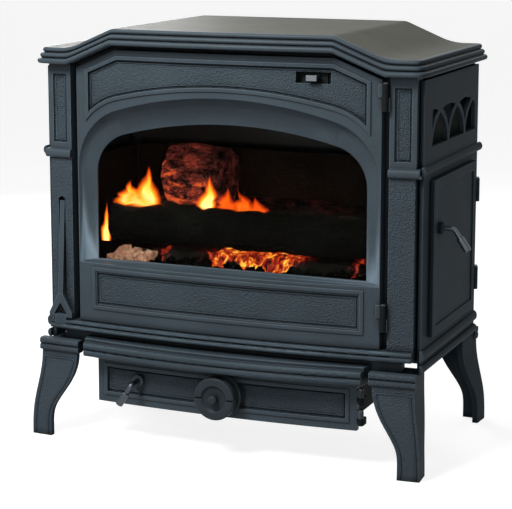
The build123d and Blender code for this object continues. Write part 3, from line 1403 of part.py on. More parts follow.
ash_cam_front = flange_back + CAM_GAP
ash_elbow = spot(-ASH_HANDLE_X, -ASH_HANDLE_REACH, ASH_HANDLE_Z)
ash_way = Vector(-sin(radians(HANDLE_SWING)) * cos(radians(HANDLE_TILT)), -sin(radians(HANDLE_TILT)),
                 -cos(radians(HANDLE_SWING)) * cos(radians(HANDLE_TILT)))
ash_tip = ash_elbow + ash_way * HANDLE_DROP
with BuildPart() as ash_handle:
    add(handle_rod(spot(-ASH_HANDLE_X, ash_cam_front + CAM_T + CAM_END, ASH_HANDLE_Z), ash_elbow, ash_tip))

with BuildPart() as ash_grip:
    add(handle_grip(ash_elbow, ash_tip))

with BuildPart() as ash_latch_cam:
    add(slab(cam_face(*ash_pivot, 0), ash_cam_front, ash_cam_front + CAM_T))

# Air wheel: it turns on a threaded spindle in the ash door and pushes a washer along
with BuildPart() as wheel_spindle:
    add(slab(disc(0, WHEEL_Z, SPINDLE_R), -SPINDLE_REACH, CASTING + CLEAR))
    add(slab(disc(0, WHEEL_Z, SPINDLE_HEAD_R), CASTING + CLEAR, CASTING + CLEAR + SPINDLE_HEAD))

with BuildPart() as wheel_washer:
    add(slab(between(disc(0, WHEEL_Z, WASHER_R), disc(0, WHEEL_Z, SPINDLE_R + RUNNING)), -WHEEL_BACK,
             -WHEEL_BACK + WASHER_T))

bore_end = -WHEEL_STAND + WHEEL_CAP
dish_floor = -WHEEL_FRONT + WHEEL_DISH
with BuildPart() as air_wheel:
    with BuildSketch(flank(0)):
        with BuildLine():
            Polyline((-WHEEL_STAND, WHEEL_Z), (-WHEEL_STAND, WHEEL_Z + WHEEL_BOSS_R - WHEEL_CAP),
                     (-WHEEL_STAND + WHEEL_CAP, WHEEL_Z + WHEEL_BOSS_R), (dish_floor, WHEEL_Z + WHEEL_BOSS_R),
                     (dish_floor, WHEEL_Z + WHEEL_DISH_R - WHEEL_DISH),
                     (-WHEEL_FRONT, WHEEL_Z + WHEEL_DISH_R),
                     (-WHEEL_FRONT, WHEEL_Z + WHEEL_R), (-WHEEL_BACK, WHEEL_Z + WHEEL_R),
                     (-WHEEL_BACK, WHEEL_Z + SPINDLE_R + RUNNING), (bore_end, WHEEL_Z + SPINDLE_R + RUNNING),
                     (bore_end, WHEEL_Z), close=True)
        make_face()
    revolve(axis=Axis(spot(0, 0, WHEEL_Z), (0, 1, 0)))
    rim_edges = air_wheel.edges().filter_by(GeomType.CIRCLE).sort_by(SortBy.RADIUS)[-2:]
    fillet(rim_edges, radius=WHEEL_ROUND)
    for side, _ in SIDES:
        notch = panel(*side_range(side, WHEEL_DISH_R - WHEEL_DISH, WHEEL_R), WHEEL_Z - NOTCH_W / 2,
                      WHEEL_Z + NOTCH_W / 2)
        add(slab(notch, -WHEEL_FRONT, -WHEEL_FRONT + NOTCH_DEPTH), mode=Mode.SUBTRACT)

# Name and write every piece
PIECES = {
    "base_plate": base_plate.part,
    "hearth_shelf": hearth_shelf.part,
    "front_frame": front_frame.part,
    "front_ledge": front_ledge.part,
    "left_side_plate": side_casting(-1),
    "right_side_frame": right_side_frame.part,
    "back_plate": back_plate.part,
    "flue_collar": flue_collar.part,
    "flue_collar_bolts": flue_collar_bolts.part,
    "rear_heat_shield": rear_heat_shield.part,
    "top_plate": top_plate.part,
    "floor_bricks": floor_bricks.part,
    "grate": grate.part,
    "left_lining": left_lining.part,
    "rear_lining": rear_lining.part,
    "baffle_plate": baffle_plate.part,
    "log_retainer": log_retainer.part,
    "ember_bed": ember_bed.part,
    "logs": logs.part,
    "ash_box": ash_box.part,
    "ash_pan": ash_pan.part,
    "leg_bolts": leg_bolts.part,
    "front_door": front_door.part,
    "front_hinge_pins": front_hinge_pins.part,
    "glass_gasket": glass_gasket.part,
    "door_glass": door_glass.part,
    "glass_clips": glass_clips.part,
    "glass_clip_screws": glass_clip_screws.part,
    "door_rope_seal": door_rope_seal.part,
    "slide_guide": slide_guide.part,
    "air_slide": air_slide.part,
    "latch_lever": latch_lever.part,
    "latch_pin": latch_pin.part,
    "side_door": side_door.part,
    "side_hinge_pins": side_hinge_pins.part,
    "side_door_seal": side_door_seal.part,
    "side_handle": side_handle.part,
    "side_grip": side_grip.part,
    "side_latch_cam": side_latch_cam.part,
    "ash_door": ash_door.part,
    "ash_hinge_pins": ash_hinge_pins.part,
    "ash_door_seal": ash_door_seal.part,
    "ash_handle": ash_handle.part,
    "ash_grip": ash_grip.part,
    "ash_latch_cam": ash_latch_cam.part,
    "wheel_spindle": wheel_spindle.part,
    "wheel_washer": wheel_washer.part,
    "air_wheel": air_wheel.part,
}
for side, name in SIDES:
    PIECES[f"{name}_lower_column"] = lower_column(side)
    PIECES[f"{name}_upper_column"] = upper_column(side)
    PIECES[f"{name}_vent_panel"] = vent_panel(side)
    PIECES[f"{name}_vent_tray"] = vent_tray(side)
    PIECES[f"front_{name}_leg"] = corner_leg(side, rear=False)
    PIECES[f"rear_{name}_leg"] = corner_leg(side, rear=True)

for name, piece in PIECES.items():
    piece.label = name
    export_step(piece, f"parts/{name}.step")
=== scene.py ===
"""Looks of a cast-iron wood burning stove, laid out as an add-on and run as a script."""

import json
import math
from functools import partial

import bmesh
import bpy
from bpy.props import FloatProperty, FloatVectorProperty, IntProperty, PointerProperty
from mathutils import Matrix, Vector, geometry, noise
from mathutils.bvhtree import BVHTree

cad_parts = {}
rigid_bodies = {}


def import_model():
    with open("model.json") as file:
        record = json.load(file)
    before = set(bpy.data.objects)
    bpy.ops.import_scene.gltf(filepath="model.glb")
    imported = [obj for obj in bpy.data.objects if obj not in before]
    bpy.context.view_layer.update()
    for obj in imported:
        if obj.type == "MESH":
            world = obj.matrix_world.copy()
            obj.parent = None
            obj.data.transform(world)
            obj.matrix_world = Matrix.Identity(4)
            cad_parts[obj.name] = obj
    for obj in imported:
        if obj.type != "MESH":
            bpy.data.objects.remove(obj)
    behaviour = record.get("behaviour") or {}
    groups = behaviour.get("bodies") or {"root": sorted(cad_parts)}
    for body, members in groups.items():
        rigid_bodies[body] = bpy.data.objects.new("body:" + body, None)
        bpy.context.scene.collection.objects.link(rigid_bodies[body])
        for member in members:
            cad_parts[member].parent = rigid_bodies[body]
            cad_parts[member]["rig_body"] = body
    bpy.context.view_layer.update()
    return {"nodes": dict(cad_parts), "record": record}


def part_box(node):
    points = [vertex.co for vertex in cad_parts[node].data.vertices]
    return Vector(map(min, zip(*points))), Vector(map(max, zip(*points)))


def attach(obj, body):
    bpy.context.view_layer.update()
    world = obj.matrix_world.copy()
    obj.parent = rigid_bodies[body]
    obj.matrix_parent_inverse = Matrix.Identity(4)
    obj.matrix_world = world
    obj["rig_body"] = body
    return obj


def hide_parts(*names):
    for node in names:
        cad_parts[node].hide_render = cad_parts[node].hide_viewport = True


bl_info = {
    "name": "Wood burning stove",
    "version": (1, 0, 0),
    "blender": (4, 5, 0),
    "location": "3D View > Sidebar > Stove",
    "description": "Finishes a wood burning stove: castings, glass, rope seals, logs, embers and flames",
    "category": "Object",
}

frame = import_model()
NODES = frame["nodes"]
SLOT_OF = {row["node"]: row["material_slot"] for row in frame["record"]["subparts"]}
MM = 0.001
# Corners closer than this are one
JOIN = 0.01 * MM
# Height of the door's cast beads above the bowed front
BEAD = 2 * MM
# The door's middle, the crown of the bowed front and the corners of the ember bed
MIDDLE_X = sum(corner.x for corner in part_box("door_glass")) / 2
CROWN_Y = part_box("front_door")[0].y + BEAD
BED_LOW, BED_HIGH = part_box("ember_bed")
# Along X, the doors' hinge eyes stand between these
EYES_LOW, EYES_HIGH = MIDDLE_X + 276.5 * MM, MIDDLE_X + 288.6 * MM
# Noise seldom leaves this range
NOISE_SPAN = {"From Min": 0.3, "From Max": 0.7}


def linear(hex_code):
    """Turn an sRGB hex colour into linear values."""
    channels = [int(hex_code[i : i + 2], 16) / 255 for i in (1, 3, 5)]
    return [c / 12.92 if c <= 0.04045 else ((c + 0.055) / 1.055) ** 2.4 for c in channels] + [1.0]


def length_property(name, description, default):
    """A length that a user may change."""
    return FloatProperty(name=name, description=description, default=default, unit="LENGTH")


def colour_property(name, description, hex_code):
    """A colour that a user may change."""
    return FloatVectorProperty(name=name, description=description, default=linear(hex_code),
                               subtype="COLOR", size=4, min=0, max=1)


# Sizes and colours that a user would change
class StoveSizes(bpy.types.PropertyGroup):
    """Sizes of the finish"""

    bow_radius: length_property("Bow radius", "Radius of the bowed front, seen from above", 2.53)
    field_depth: length_property("Field depth", "Depth of the sunk, pebbled fields", 3 * MM)
    pebble: length_property("Pebble", "Spacing of the cast pebble", 2.3 * MM)
    arris: length_property("Arris", "Rounding of the castings' edges", 1.8 * MM)
    roll: length_property("Roll", "Rounding of the moulded edges", 3.6 * MM)
    rope_strands: IntProperty(name="Rope strands", description="Strands in a rope seal", default=3)
    rope_lay: length_property("Rope lay", "Length of one turn of a strand", 26 * MM)
    lump: length_property("Lump", "Middle size of a lump of charcoal", 17 * MM)


class StoveColours(bpy.types.PropertyGroup):
    """Colours of the finishes"""

    paint: colour_property("Stove paint", "Anthracite heat-resistant paint", "#39434a")
    # Painted light: the top's paint is lighter and warmer than the stove paint, standing for the light
    # falling from above on the top.
    top_paint_lit: colour_property("Top paint", "Paint of the top, warmer and duller from heat", "#54544e")
    # Painted shade: the air wheel's paint is darker than the stove paint, standing for the shelf's shadow
    # over it.
    wheel_paint_shaded: colour_property("Wheel paint", "Darker paint of the air wheel", "#2b3237")
    # Painted shade, in part: the matt black sheet is made near-black so that the vent trays behind the side
    # openings read as shade.
    sheet: colour_property("Sheet steel", "Matt black sheet metal", "#1c1f20")
    brick: colour_property("Firebrick", "Vermiculite brick under soot", "#1d1916")
    floor: colour_property("Floor", "Pale studio floor", "#a0a0a0")


def sizes():
    return bpy.context.scene.stove_sizes


def colours():
    return bpy.context.scene.stove_colours


# Helpers for node trees
def set_input(socket, value):
    """Set an input, or link it to another socket or to a node's first output in use."""
    if isinstance(value, bpy.types.Node):
        value = next(output for output in value.outputs if output.enabled)
    if isinstance(value, bpy.types.NodeSocket):
        socket.id_data.links.new(value, socket)
    else:
        socket.default_value = value


def add_node(tree, kind, inputs=None, **settings):
    """Add one node, set its properties, and set or link its inputs by name or number."""
    node = tree.nodes.new(kind)
    for name, value in settings.items():
        setattr(node, name, value)
    for key, value in (inputs or {}).items():
        set_input(node.inputs[key], value)
    return node


def set_stops(node, *stops):
    """Set the stops of a colour ramp from pairs of place and hex colour."""
    ramp = node.color_ramp
    while len(ramp.elements) < len(stops):
        ramp.elements.new(1.0)
    for element, (place, hex_code) in zip(ramp.elements, stops):
        element.position = place
        element.color = linear(hex_code)
    return node


def start_material(name):
    """A new material, what adds a node to it, its shader and its Object coordinates."""
    material = bpy.data.materials.new(name)
    material.use_nodes = True
    add = partial(add_node, material.node_tree)
    coords = add("ShaderNodeTexCoord").outputs["Object"]
    return material, add, material.node_tree.nodes["Principled BSDF"], coords


def set_shader(shader, **inputs):
    """Set or link the shader's inputs, with spaces written as underscores."""
    for name, value in inputs.items():
        set_input(shader.inputs[name.replace("_", " ")], value)


def each(spacing):
    """Texture scale of a pattern that repeats about once in that many metres."""
    return 1.0 / spacing


# Finishes
def stove_paint(name, colour, pebble, arris, gloss):
    """Matt silicone paint sprayed on sand-cast iron.

    It gives an even anthracite with a low sheen and a sandy grain. Edges carry a painted highlight, creases
    carry painted shade, and the sunk fields have a cast pebble of small rounded bumps.
    """
    material, add, shader, coords = start_material(name)
    rounded = add("ShaderNodeBevel", {"Radius": arris}, samples=8)
    flat = add("ShaderNodeNewGeometry").outputs["True Normal"]
    # Painted highlight: at edges, where the rounded normal leaves the true one, the colour grows up to three
    # times lighter.
    facing = add("ShaderNodeVectorMath", {0: rounded, 1: flat}, operation="DOT_PRODUCT").outputs["Value"]
    edge = add("ShaderNodeMapRange", {"Value": facing, "From Min": 0.97, "From Max": 0.78, "To Max": 2.0})
    grain = add("ShaderNodeTexNoise",
                {"Vector": coords, "Scale": each(1.6 * MM), "Detail": 3.0, "Roughness": 0.6})
    cloud = add("ShaderNodeTexNoise", {"Vector": coords, "Scale": each(90 * MM), "Detail": 3.0})
    tone = add("ShaderNodeMapRange", {**NOISE_SPAN, "Value": cloud, "To Min": 0.9, "To Max": 1.1})
    tone_and_highlight = add("ShaderNodeMath", {0: tone, 1: edge})
    speck = add("ShaderNodeMapRange", {**NOISE_SPAN, "Value": grain, "To Min": 0.82, "To Max": 1.18})
    # Painted shade: ambient occlusion darkens creases, recesses and the gaps between parts to as little as an
    # eighth of the colour.
    near = add("ShaderNodeAmbientOcclusion", {"Distance": 13 * MM}, samples=4).outputs["AO"]
    crease = add("ShaderNodeMapRange", {"Value": near, "From Min": 0.45, "From Max": 0.97, "To Min": 0.12})
    grain_and_crease_shade = add("ShaderNodeMath", {0: speck, 1: crease}, operation="MULTIPLY")
    level = add("ShaderNodeMath", {0: tone_and_highlight, 1: grain_and_crease_shade}, operation="MULTIPLY")
    shade = add("ShaderNodeVectorMath", {0: colour[:3], 1: level}, operation="MULTIPLY")
    rough = add("ShaderNodeMapRange", {**NOISE_SPAN, "Value": grain, "To Min": 0.4, "To Max": 0.55})
    bump = add("ShaderNodeBump",
               {"Strength": 0.35, "Distance": 0.25 * MM, "Height": grain, "Normal": rounded})
    if pebble:
        cast = add("ShaderNodeTexNoise",
                   {"Vector": coords, "Scale": each(sizes().pebble), "Detail": 1.0, "Roughness": 0.4})
        bump = add("ShaderNodeBump",
                   {"Strength": pebble, "Distance": 4.2 * MM, "Height": cast, "Normal": bump})
    set_shader(shader, Base_Color=shade, Roughness=rough, Normal=bump, Specular_IOR_Level=gloss)
    return material


def black_sheet(name, lift):
    """Folded sheet steel with a matt black coat, smooth and mottled by heat; lift fades the black."""
    material, add, shader, coords = start_material(name)
    mottle = add("ShaderNodeTexNoise", {"Vector": coords, "Scale": each(25 * MM), "Detail": 4.0})
    rough = add("ShaderNodeMapRange", {"Value": mottle, "To Min": 0.45, "To Max": 0.75})
    tone = add("ShaderNodeMapRange", {"Value": mottle, "To Min": 0.7 * lift, "To Max": 1.3 * lift})
    shade = add("ShaderNodeVectorMath", {0: colours().sheet[:3], 1: tone}, operation="MULTIPLY")
    set_shader(shader, Base_Color=shade, Roughness=rough, Specular_IOR_Level=0.02)
    return material


def turned_steel(name, hex_code, roughness):
    """Turned or drawn steel, dulled by heat: a grey metal with fine marks."""
    material, add, shader, coords = start_material(name)
    marks = add("ShaderNodeTexNoise", {"Vector": coords, "Scale": each(1.5 * MM), "Detail": 3.0})
    spread = 0.1
    rough = add("ShaderNodeMapRange",
                {"Value": marks, "To Min": roughness - spread, "To Max": roughness + spread})
    rounded = add("ShaderNodeBevel", {"Radius": 0.5 * MM}, samples=4)
    bump = add("ShaderNodeBump", {"Strength": 0.15, "Distance": 0.1 * MM, "Height": marks, "Normal": rounded})
    set_shader(shader, Base_Color=linear(hex_code), Metallic=1.0, Roughness=rough, Normal=bump)
    return material


def sooty_brick(name):
    """Pressed vermiculite brick under soot: coarse flakes, almost black, no shine."""
    material, add, shader, coords = start_material(name)
    flakes = add("ShaderNodeTexVoronoi", {"Vector": coords, "Scale": each(7 * MM)})
    soot = add("ShaderNodeTexNoise", {"Vector": coords, "Scale": each(120 * MM), "Detail": 5.0})
    tone = add("ShaderNodeMapRange",
               {"Value": soot, "From Min": 0.35, "From Max": 0.7, "To Min": 0.5, "To Max": 1.5})
    shade = add("ShaderNodeVectorMath", {0: colours().brick[:3], 1: tone}, operation="MULTIPLY")
    bump = add("ShaderNodeBump", {"Strength": 0.6, "Distance": 1.0 * MM, "Height": flakes})
    set_shader(shader, Base_Color=shade, Normal=bump, Roughness=0.95, Specular_IOR_Level=0.1)
    return material


def rope_fibre(name):
    """Plaited glass-fibre rope, dyed dark and dusty: dull strands with fine filaments."""
    material, add, shader, coords = start_material(name)
    fibre = add("ShaderNodeTexNoise", {"Vector": coords, "Scale": each(0.9 * MM), "Detail": 4.0})
    tint = set_stops(add("ShaderNodeValToRGB", {"Fac": fibre}), (0.3, "#1d1d1c"), (0.75, "#55534f"))
    bump = add("ShaderNodeBump", {"Strength": 0.5, "Distance": 0.3 * MM, "Height": fibre})
    set_shader(shader, Base_Color=tint, Normal=bump, Roughness=0.9)
    return material


def stove_glass(name):
    """Clear glass-ceramic pane with a faint smoke haze.

    Its index is set below the typical 1.53, because the pane shows almost no reflection.
    """
    material, add, shader, coords = start_material(name)
    haze = add("ShaderNodeTexNoise", {"Vector": coords, "Scale": each(160 * MM), "Detail": 3.0})
    rough = add("ShaderNodeMapRange", {"Value": haze, "To Max": 0.03})
    set_shader(shader, Base_Color=linear("#eef2ea"), Roughness=rough, Transmission_Weight=1.0, IOR=1.05)
    return material


def charred_bark(name):
    """Burning log: black bark cracked into plates, which glow dull red where the warmth attribute is high."""
    material, add, shader, coords = start_material(name)
    long = add("ShaderNodeMapping", {"Vector": coords, "Scale": (0.6, 1.0, 1.0)})
    warp = add("ShaderNodeTexNoise", {"Vector": coords, "Scale": each(14 * MM), "Detail": 3.0})
    bent = add("ShaderNodeVectorMath", {0: warp.outputs["Color"], 1: (12 * MM,) * 3, 2: long},
               operation="MULTIPLY_ADD")
    cracks = add("ShaderNodeTexVoronoi", {"Vector": bent, "Scale": each(8 * MM)}, feature="DISTANCE_TO_EDGE")
    scale = add("ShaderNodeTexNoise",
                {"Vector": bent, "Scale": each(18 * MM), "Detail": 7.0, "Roughness": 0.72})
    plate = add("ShaderNodeMapRange", {"Value": cracks, "From Max": 0.16})
    height = add("ShaderNodeMath", {0: plate, 1: scale})
    bump = add("ShaderNodeBump", {"Strength": 0.8, "Distance": 3 * MM, "Height": height})
    tint = set_stops(add("ShaderNodeValToRGB", {"Fac": scale}), (0.35, "#030303"), (0.8, "#0f0d0b"))
    heat = add("ShaderNodeAttribute", attribute_name="warmth").outputs["Fac"]
    flake = add("ShaderNodeMath", {0: scale, 1: 2.4, 2: -0.72}, operation="MULTIPLY_ADD")
    seam = add("ShaderNodeMath", {0: plate, 1: 0.16, 2: flake}, operation="MULTIPLY_ADD")
    glow = add("ShaderNodeMath", {0: seam, 1: heat}, operation="MULTIPLY")
    hot = set_stops(add("ShaderNodeValToRGB", {"Fac": glow}), (0.22, "#000000"), (0.38, "#220b09"),
                    (0.54, "#501e1a"), (0.74, "#8a3224"), (1.0, "#f0602c"))
    set_shader(shader, Base_Color=tint, Normal=bump, Roughness=0.9, Specular_IOR_Level=0.05,
               Emission_Color=hot, Emission_Strength=1.0)
    return material


def glowing_charcoal(name):
    """Bed of charcoal: black where it is cold, and red, orange and yellow as the warmth attribute rises."""
    material, add, shader, coords = start_material(name)
    tongue = add("ShaderNodeMapping", {"Vector": coords, "Scale": (1.0, 0.6, 0.6)})
    spots = add("ShaderNodeTexNoise", {"Vector": tongue, "Scale": each(10 * MM), "Detail": 5.0,
                                       "Roughness": 0.65, "Distortion": 0.8})
    heat = add("ShaderNodeAttribute", attribute_name="warmth").outputs["Fac"]
    level = add("ShaderNodeMath", {0: spots, 1: 2.0, 2: heat}, operation="MULTIPLY_ADD")
    warm = add("ShaderNodeMath", {0: level, 1: 1.0}, operation="SUBTRACT")
    hot = set_stops(add("ShaderNodeValToRGB", {"Fac": warm}), (0.42, "#000000"), (0.58, "#4a0a0a"),
                    (0.76, "#b32a14"), (0.9, "#f4761e"), (1.0, "#ffd24a"))
    tint = set_stops(add("ShaderNodeValToRGB", {"Fac": spots}), (0.3, "#070605"), (0.7, "#1b1715"))
    bump = add("ShaderNodeBump", {"Strength": 0.8, "Distance": 3 * MM, "Height": spots})
    set_shader(shader, Base_Color=tint, Normal=bump, Roughness=0.95, Specular_IOR_Level=0.1,
               Emission_Color=hot, Emission_Strength=1.2)
    return material


def pale_ash(name):
    """Ash crust still warm from below: chalky beige with glowing edges, self-lit in brown and beige as
    painted light.
    """
    material, add, shader, coords = start_material(name)
    crust = add("ShaderNodeTexNoise",
                {"Vector": coords, "Scale": each(9 * MM), "Detail": 5.0, "Roughness": 0.7})
    tint = set_stops(add("ShaderNodeValToRGB", {"Fac": crust}), (0.35, "#7a5a4c"), (0.7, "#b08a76"))
    # Painted light: the emission runs from brown through beige to orange, so the whole crust looks lit; only
    # its orange end is a glow.
    hot = set_stops(add("ShaderNodeValToRGB", {"Fac": crust}), (0.3, "#1c0d08"), (0.5, "#6a4436"),
                    (0.66, "#8d6a52"), (0.72, "#d89a3c"))
    bump = add("ShaderNodeBump", {"Strength": 0.8, "Distance": 2 * MM, "Height": crust})
    set_shader(shader, Base_Color=tint, Normal=bump, Roughness=0.95, Emission_Color=hot,
               Emission_Strength=1.0)
    return material


def flame_gas(name):
    """Burning gas: light and no surface, pale yellow in the heart, orange outside and clear at the tip."""
    material, add, shader, coords = start_material(name)
    heat = add("ShaderNodeAttribute", attribute_name="warmth").outputs["Fac"]
    wisp = add("ShaderNodeTexNoise", {"Vector": coords, "Scale": each(22 * MM), "Detail": 2.0})
    level = add("ShaderNodeMath", {0: wisp, 1: 0.3, 2: heat}, operation="MULTIPLY_ADD")
    warm = add("ShaderNodeMath", {0: level, 1: 0.15}, operation="SUBTRACT")
    hot = set_stops(add("ShaderNodeValToRGB", {"Fac": warm}), (0.0, "#c8280a"), (0.25, "#f05a10"),
                    (0.5, "#ff8c1a"), (0.75, "#ffbe42"), (1.0, "#ffecae"))
    cover = add("ShaderNodeMapRange", {"Value": warm, "From Max": 0.9, "To Min": 0.02, "To Max": 0.2})
    set_shader(shader, Base_Color=(0, 0, 0, 1), Specular_IOR_Level=0.0, Emission_Color=hot,
               Emission_Strength=4.0, Alpha=cover)
    return material


FINISHES = {}


def make_finishes():
    """Make each finish once, under its slot's name or the name of the place that needs another one."""
    arris, roll = sizes().arris, sizes().roll
    paint = colours().paint
    FINISHES.update(
        painted_iron=stove_paint("stove_paint_satin", paint, 0.0, arris, 0.14),
        pebbled_iron=stove_paint("stove_paint_pebbled", paint, 0.8, arris, 0.1),
        moulded_iron=stove_paint("stove_paint_rolls", paint, 0.0, roll, 0.06),
        matt_iron=stove_paint("stove_paint_matt", paint, 0.0, arris, 0.01),
        wheel_iron=stove_paint("stove_paint_wheel_shaded", colours().wheel_paint_shaded, 0.0, arris, 0.1),
        leg_iron=stove_paint("stove_paint_legs", paint, 0.6, arris, 0.1),
        # The top takes its lighter, warmer paint as painted light from above.
        warm_iron=stove_paint("stove_paint_top", colours().top_paint_lit, 0.12, roll, 0.01),
        sheet_steel=black_sheet("sheet_steel_matt_black", 1.0),
        shield_steel=black_sheet("sheet_steel_faded_black", 2.0),
        bright_steel=turned_steel("steel_dulled", "#71767a", 0.4),
        handle_steel=turned_steel("steel_blued", "#484e53", 0.34),
        firebrick=sooty_brick("vermiculite_brick_sooty"),
        rope_seal=rope_fibre("glass_fibre_rope"),
        heat_glass=stove_glass("glass_ceramic"),
        log_bark=charred_bark("charred_bark"),
        embers=glowing_charcoal("glowing_charcoal"),
        ash=pale_ash("pale_ash"),
        flames=flame_gas("flame_gas"),
    )


# Helpers for pieces
def new_piece(name, mesh, *finishes):
    """Link a mesh as a new object with its finishes."""
    piece = bpy.data.objects.new(name, mesh)
    bpy.context.scene.collection.objects.link(piece)
    if not mesh.materials:
        for finish in finishes:
            mesh.materials.append(FINISHES[finish])
    return piece


def settle(piece, node, stands_in=True):
    """Let a piece ride on a node's body and, unless told otherwise, stand for it."""
    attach(piece, NODES[node]["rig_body"])
    if stands_in:
        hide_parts(node)


def plain_mesh(name, points, edges, faces=()):
    """A mesh from its points and its edges or faces."""
    mesh = bpy.data.meshes.new(name)
    mesh.from_pydata(points, edges, faces)
    return mesh


def smooth(mesh):
    """Shade a mesh smooth."""
    mesh.polygons.foreach_set("use_smooth", [True] * len(mesh.polygons))
    return mesh


def mesh_from(name, work):
    """Turn a bmesh into a smooth mesh."""
    mesh = bpy.data.meshes.new(name)
    work.to_mesh(mesh)
    work.free()
    return smooth(mesh)


def join_rings(work, rings):
    """Add the faces between rings of points that follow one another."""
    for first, second in zip(rings, rings[1:]):
        for k in range(len(first)):
            work.faces.new((first[k - 1], first[k], second[k], second[k - 1]))


def joined_copy(node):
    """A node's mesh as a bmesh with its loose triangles joined, each corner's normal kept in a layer."""
    source = NODES[node].data
    work = bmesh.new()
    work.from_mesh(source)
    shade = work.loops.layers.float_vector.new("shade")
    normals = iter(source.corner_normals)
    for face in work.faces:
        for loop in face.loops:
            loop[shade] = next(normals).vector
    bmesh.ops.remove_doubles(work, verts=work.verts, dist=JOIN)
    return work


def shaded_mesh(name, work):
    """Turn a joined copy into a mesh that is shaded by its kept normals."""
    mesh = mesh_from(name, work)
    mesh.normals_split_custom_set([corner.vector for corner in mesh.attributes["shade"].data])
    mesh.attributes.remove(mesh.attributes["shade"])
    return mesh


def linked_corners(corners, border=None):
    """Split corners into groups that edges link, or only the edges of a border if one is given."""
    spare = dict.fromkeys(corners)
    while spare:
        group = [next(iter(spare))]
        del spare[group[0]]
        for vert in group:
            for edge in vert.link_edges:
                other = edge.other_vert(vert)
                if other in spare and (border is None or edge in border):
                    del spare[other]
                    group.append(other)
        yield group


def solids_of(node):
    """Boxes of the separate solids in one node, as pairs of corners."""
    work = joined_copy(node)
    boxes = []
    for group in linked_corners(work.verts):
        axes = list(zip(*(vert.co for vert in group)))
        boxes.append((Vector([min(axis) for axis in axes]), Vector([max(axis) for axis in axes])))
    work.free()
    return boxes


def bow_depth(x):
    """Depth of the bowed front behind its crown, at x in the part's frame."""
    radius = sizes().bow_radius
    return radius - math.sqrt(radius**2 - (x - MIDDLE_X) ** 2)


def depth_of(face):
    """How far the middle of a face lies behind the bowed front."""
    centre = face.calc_center_median()
    return centre.y - CROWN_Y - bow_depth(centre.x)


def mark_fields(work, depth):
    """Give the faces at one depth behind the bowed front the second finish."""
    facing, slack = -0.85, 0.6 * MM
    for face in work.faces:
        if face.normal.y < facing and abs(depth_of(face) - depth) < slack:
            face.material_index = 1


def soften_cove(work):
    """Shade the splays that slope in behind the bowed front as one smooth cove."""
    steepest, flattest = -0.97, -0.05
    shade = work.loops.layers.float_vector["shade"]
    cove = {face for face in work.faces if steepest < face.normal.y < flattest and depth_of(face) > BEAD}
    for vert in {vert for face in cove for vert in face.verts}:
        loops = [loop for loop in vert.link_loops if loop.face in cove]
        mean = sum((loop[shade] for loop in loops), Vector()).normalized()
        for loop in loops:
            loop[shade] = mean


def dress_casting(node, depth=None, finishes=("painted_iron", "pebbled_iron", "sheet_steel")):
    """Let a joined copy stand for a casting, its fields marked and its hinge eyes black as painted shade."""
    work = joined_copy(node)
    if depth is not None:
        mark_fields(work, depth)
        # Painted shade: the hinge eyes take the black sheet finish, so that they sink into the dark gap
        # beside the door.
        for face in work.faces:
            if EYES_LOW < face.calc_center_median().x < EYES_HIGH:
                face.material_index = 2
    soften_cove(work)
    mesh = shaded_mesh(f"{node}_casting", work)
    settle(new_piece(f"{node}_casting", mesh, *finishes), node)


# Helpers for Geometry Nodes
def start_tree(name, **inputs):
    """A new tree of geometry nodes, what adds a node to it, its inputs and their identifiers."""
    tree = bpy.data.node_groups.new(name, "GeometryNodeTree")
    new_socket = tree.interface.new_socket
    new_socket("Geometry", in_out="INPUT", socket_type="NodeSocketGeometry")
    labels = {}
    for label, kind in inputs.items():
        labels[label] = new_socket(label, in_out="INPUT", socket_type=f"NodeSocket{kind}").identifier
    new_socket("Geometry", in_out="OUTPUT", socket_type="NodeSocketGeometry")
    add = partial(add_node, tree)
    return tree, add, add("NodeGroupInput").outputs, labels


def end_tree(add, made, finish):
    """Realize what a tree made, give it its finish and hand it out."""
    real = add("GeometryNodeRealizeInstances", {"Geometry": made})
    painted = add("GeometryNodeSetMaterial", {"Geometry": real, "Material": FINISHES[finish]})
    add("NodeGroupOutput", {"Geometry": painted})


def run_tree(tree, labels, base_mesh, **values):
    """Run a tree on a mesh and return the result as a plain mesh."""
    base = bpy.data.objects.new("tree_base", base_mesh)
    bpy.context.scene.collection.objects.link(base)
    modifier = base.modifiers.new("nodes", "NODES")
    modifier.node_group = tree
    for label, value in values.items():
        modifier[labels[label]] = value
    depsgraph = bpy.context.evaluated_depsgraph_get()
    mesh = bpy.data.meshes.new_from_object(base.evaluated_get(depsgraph), depsgraph=depsgraph)
    bpy.data.objects.remove(base)
    return mesh


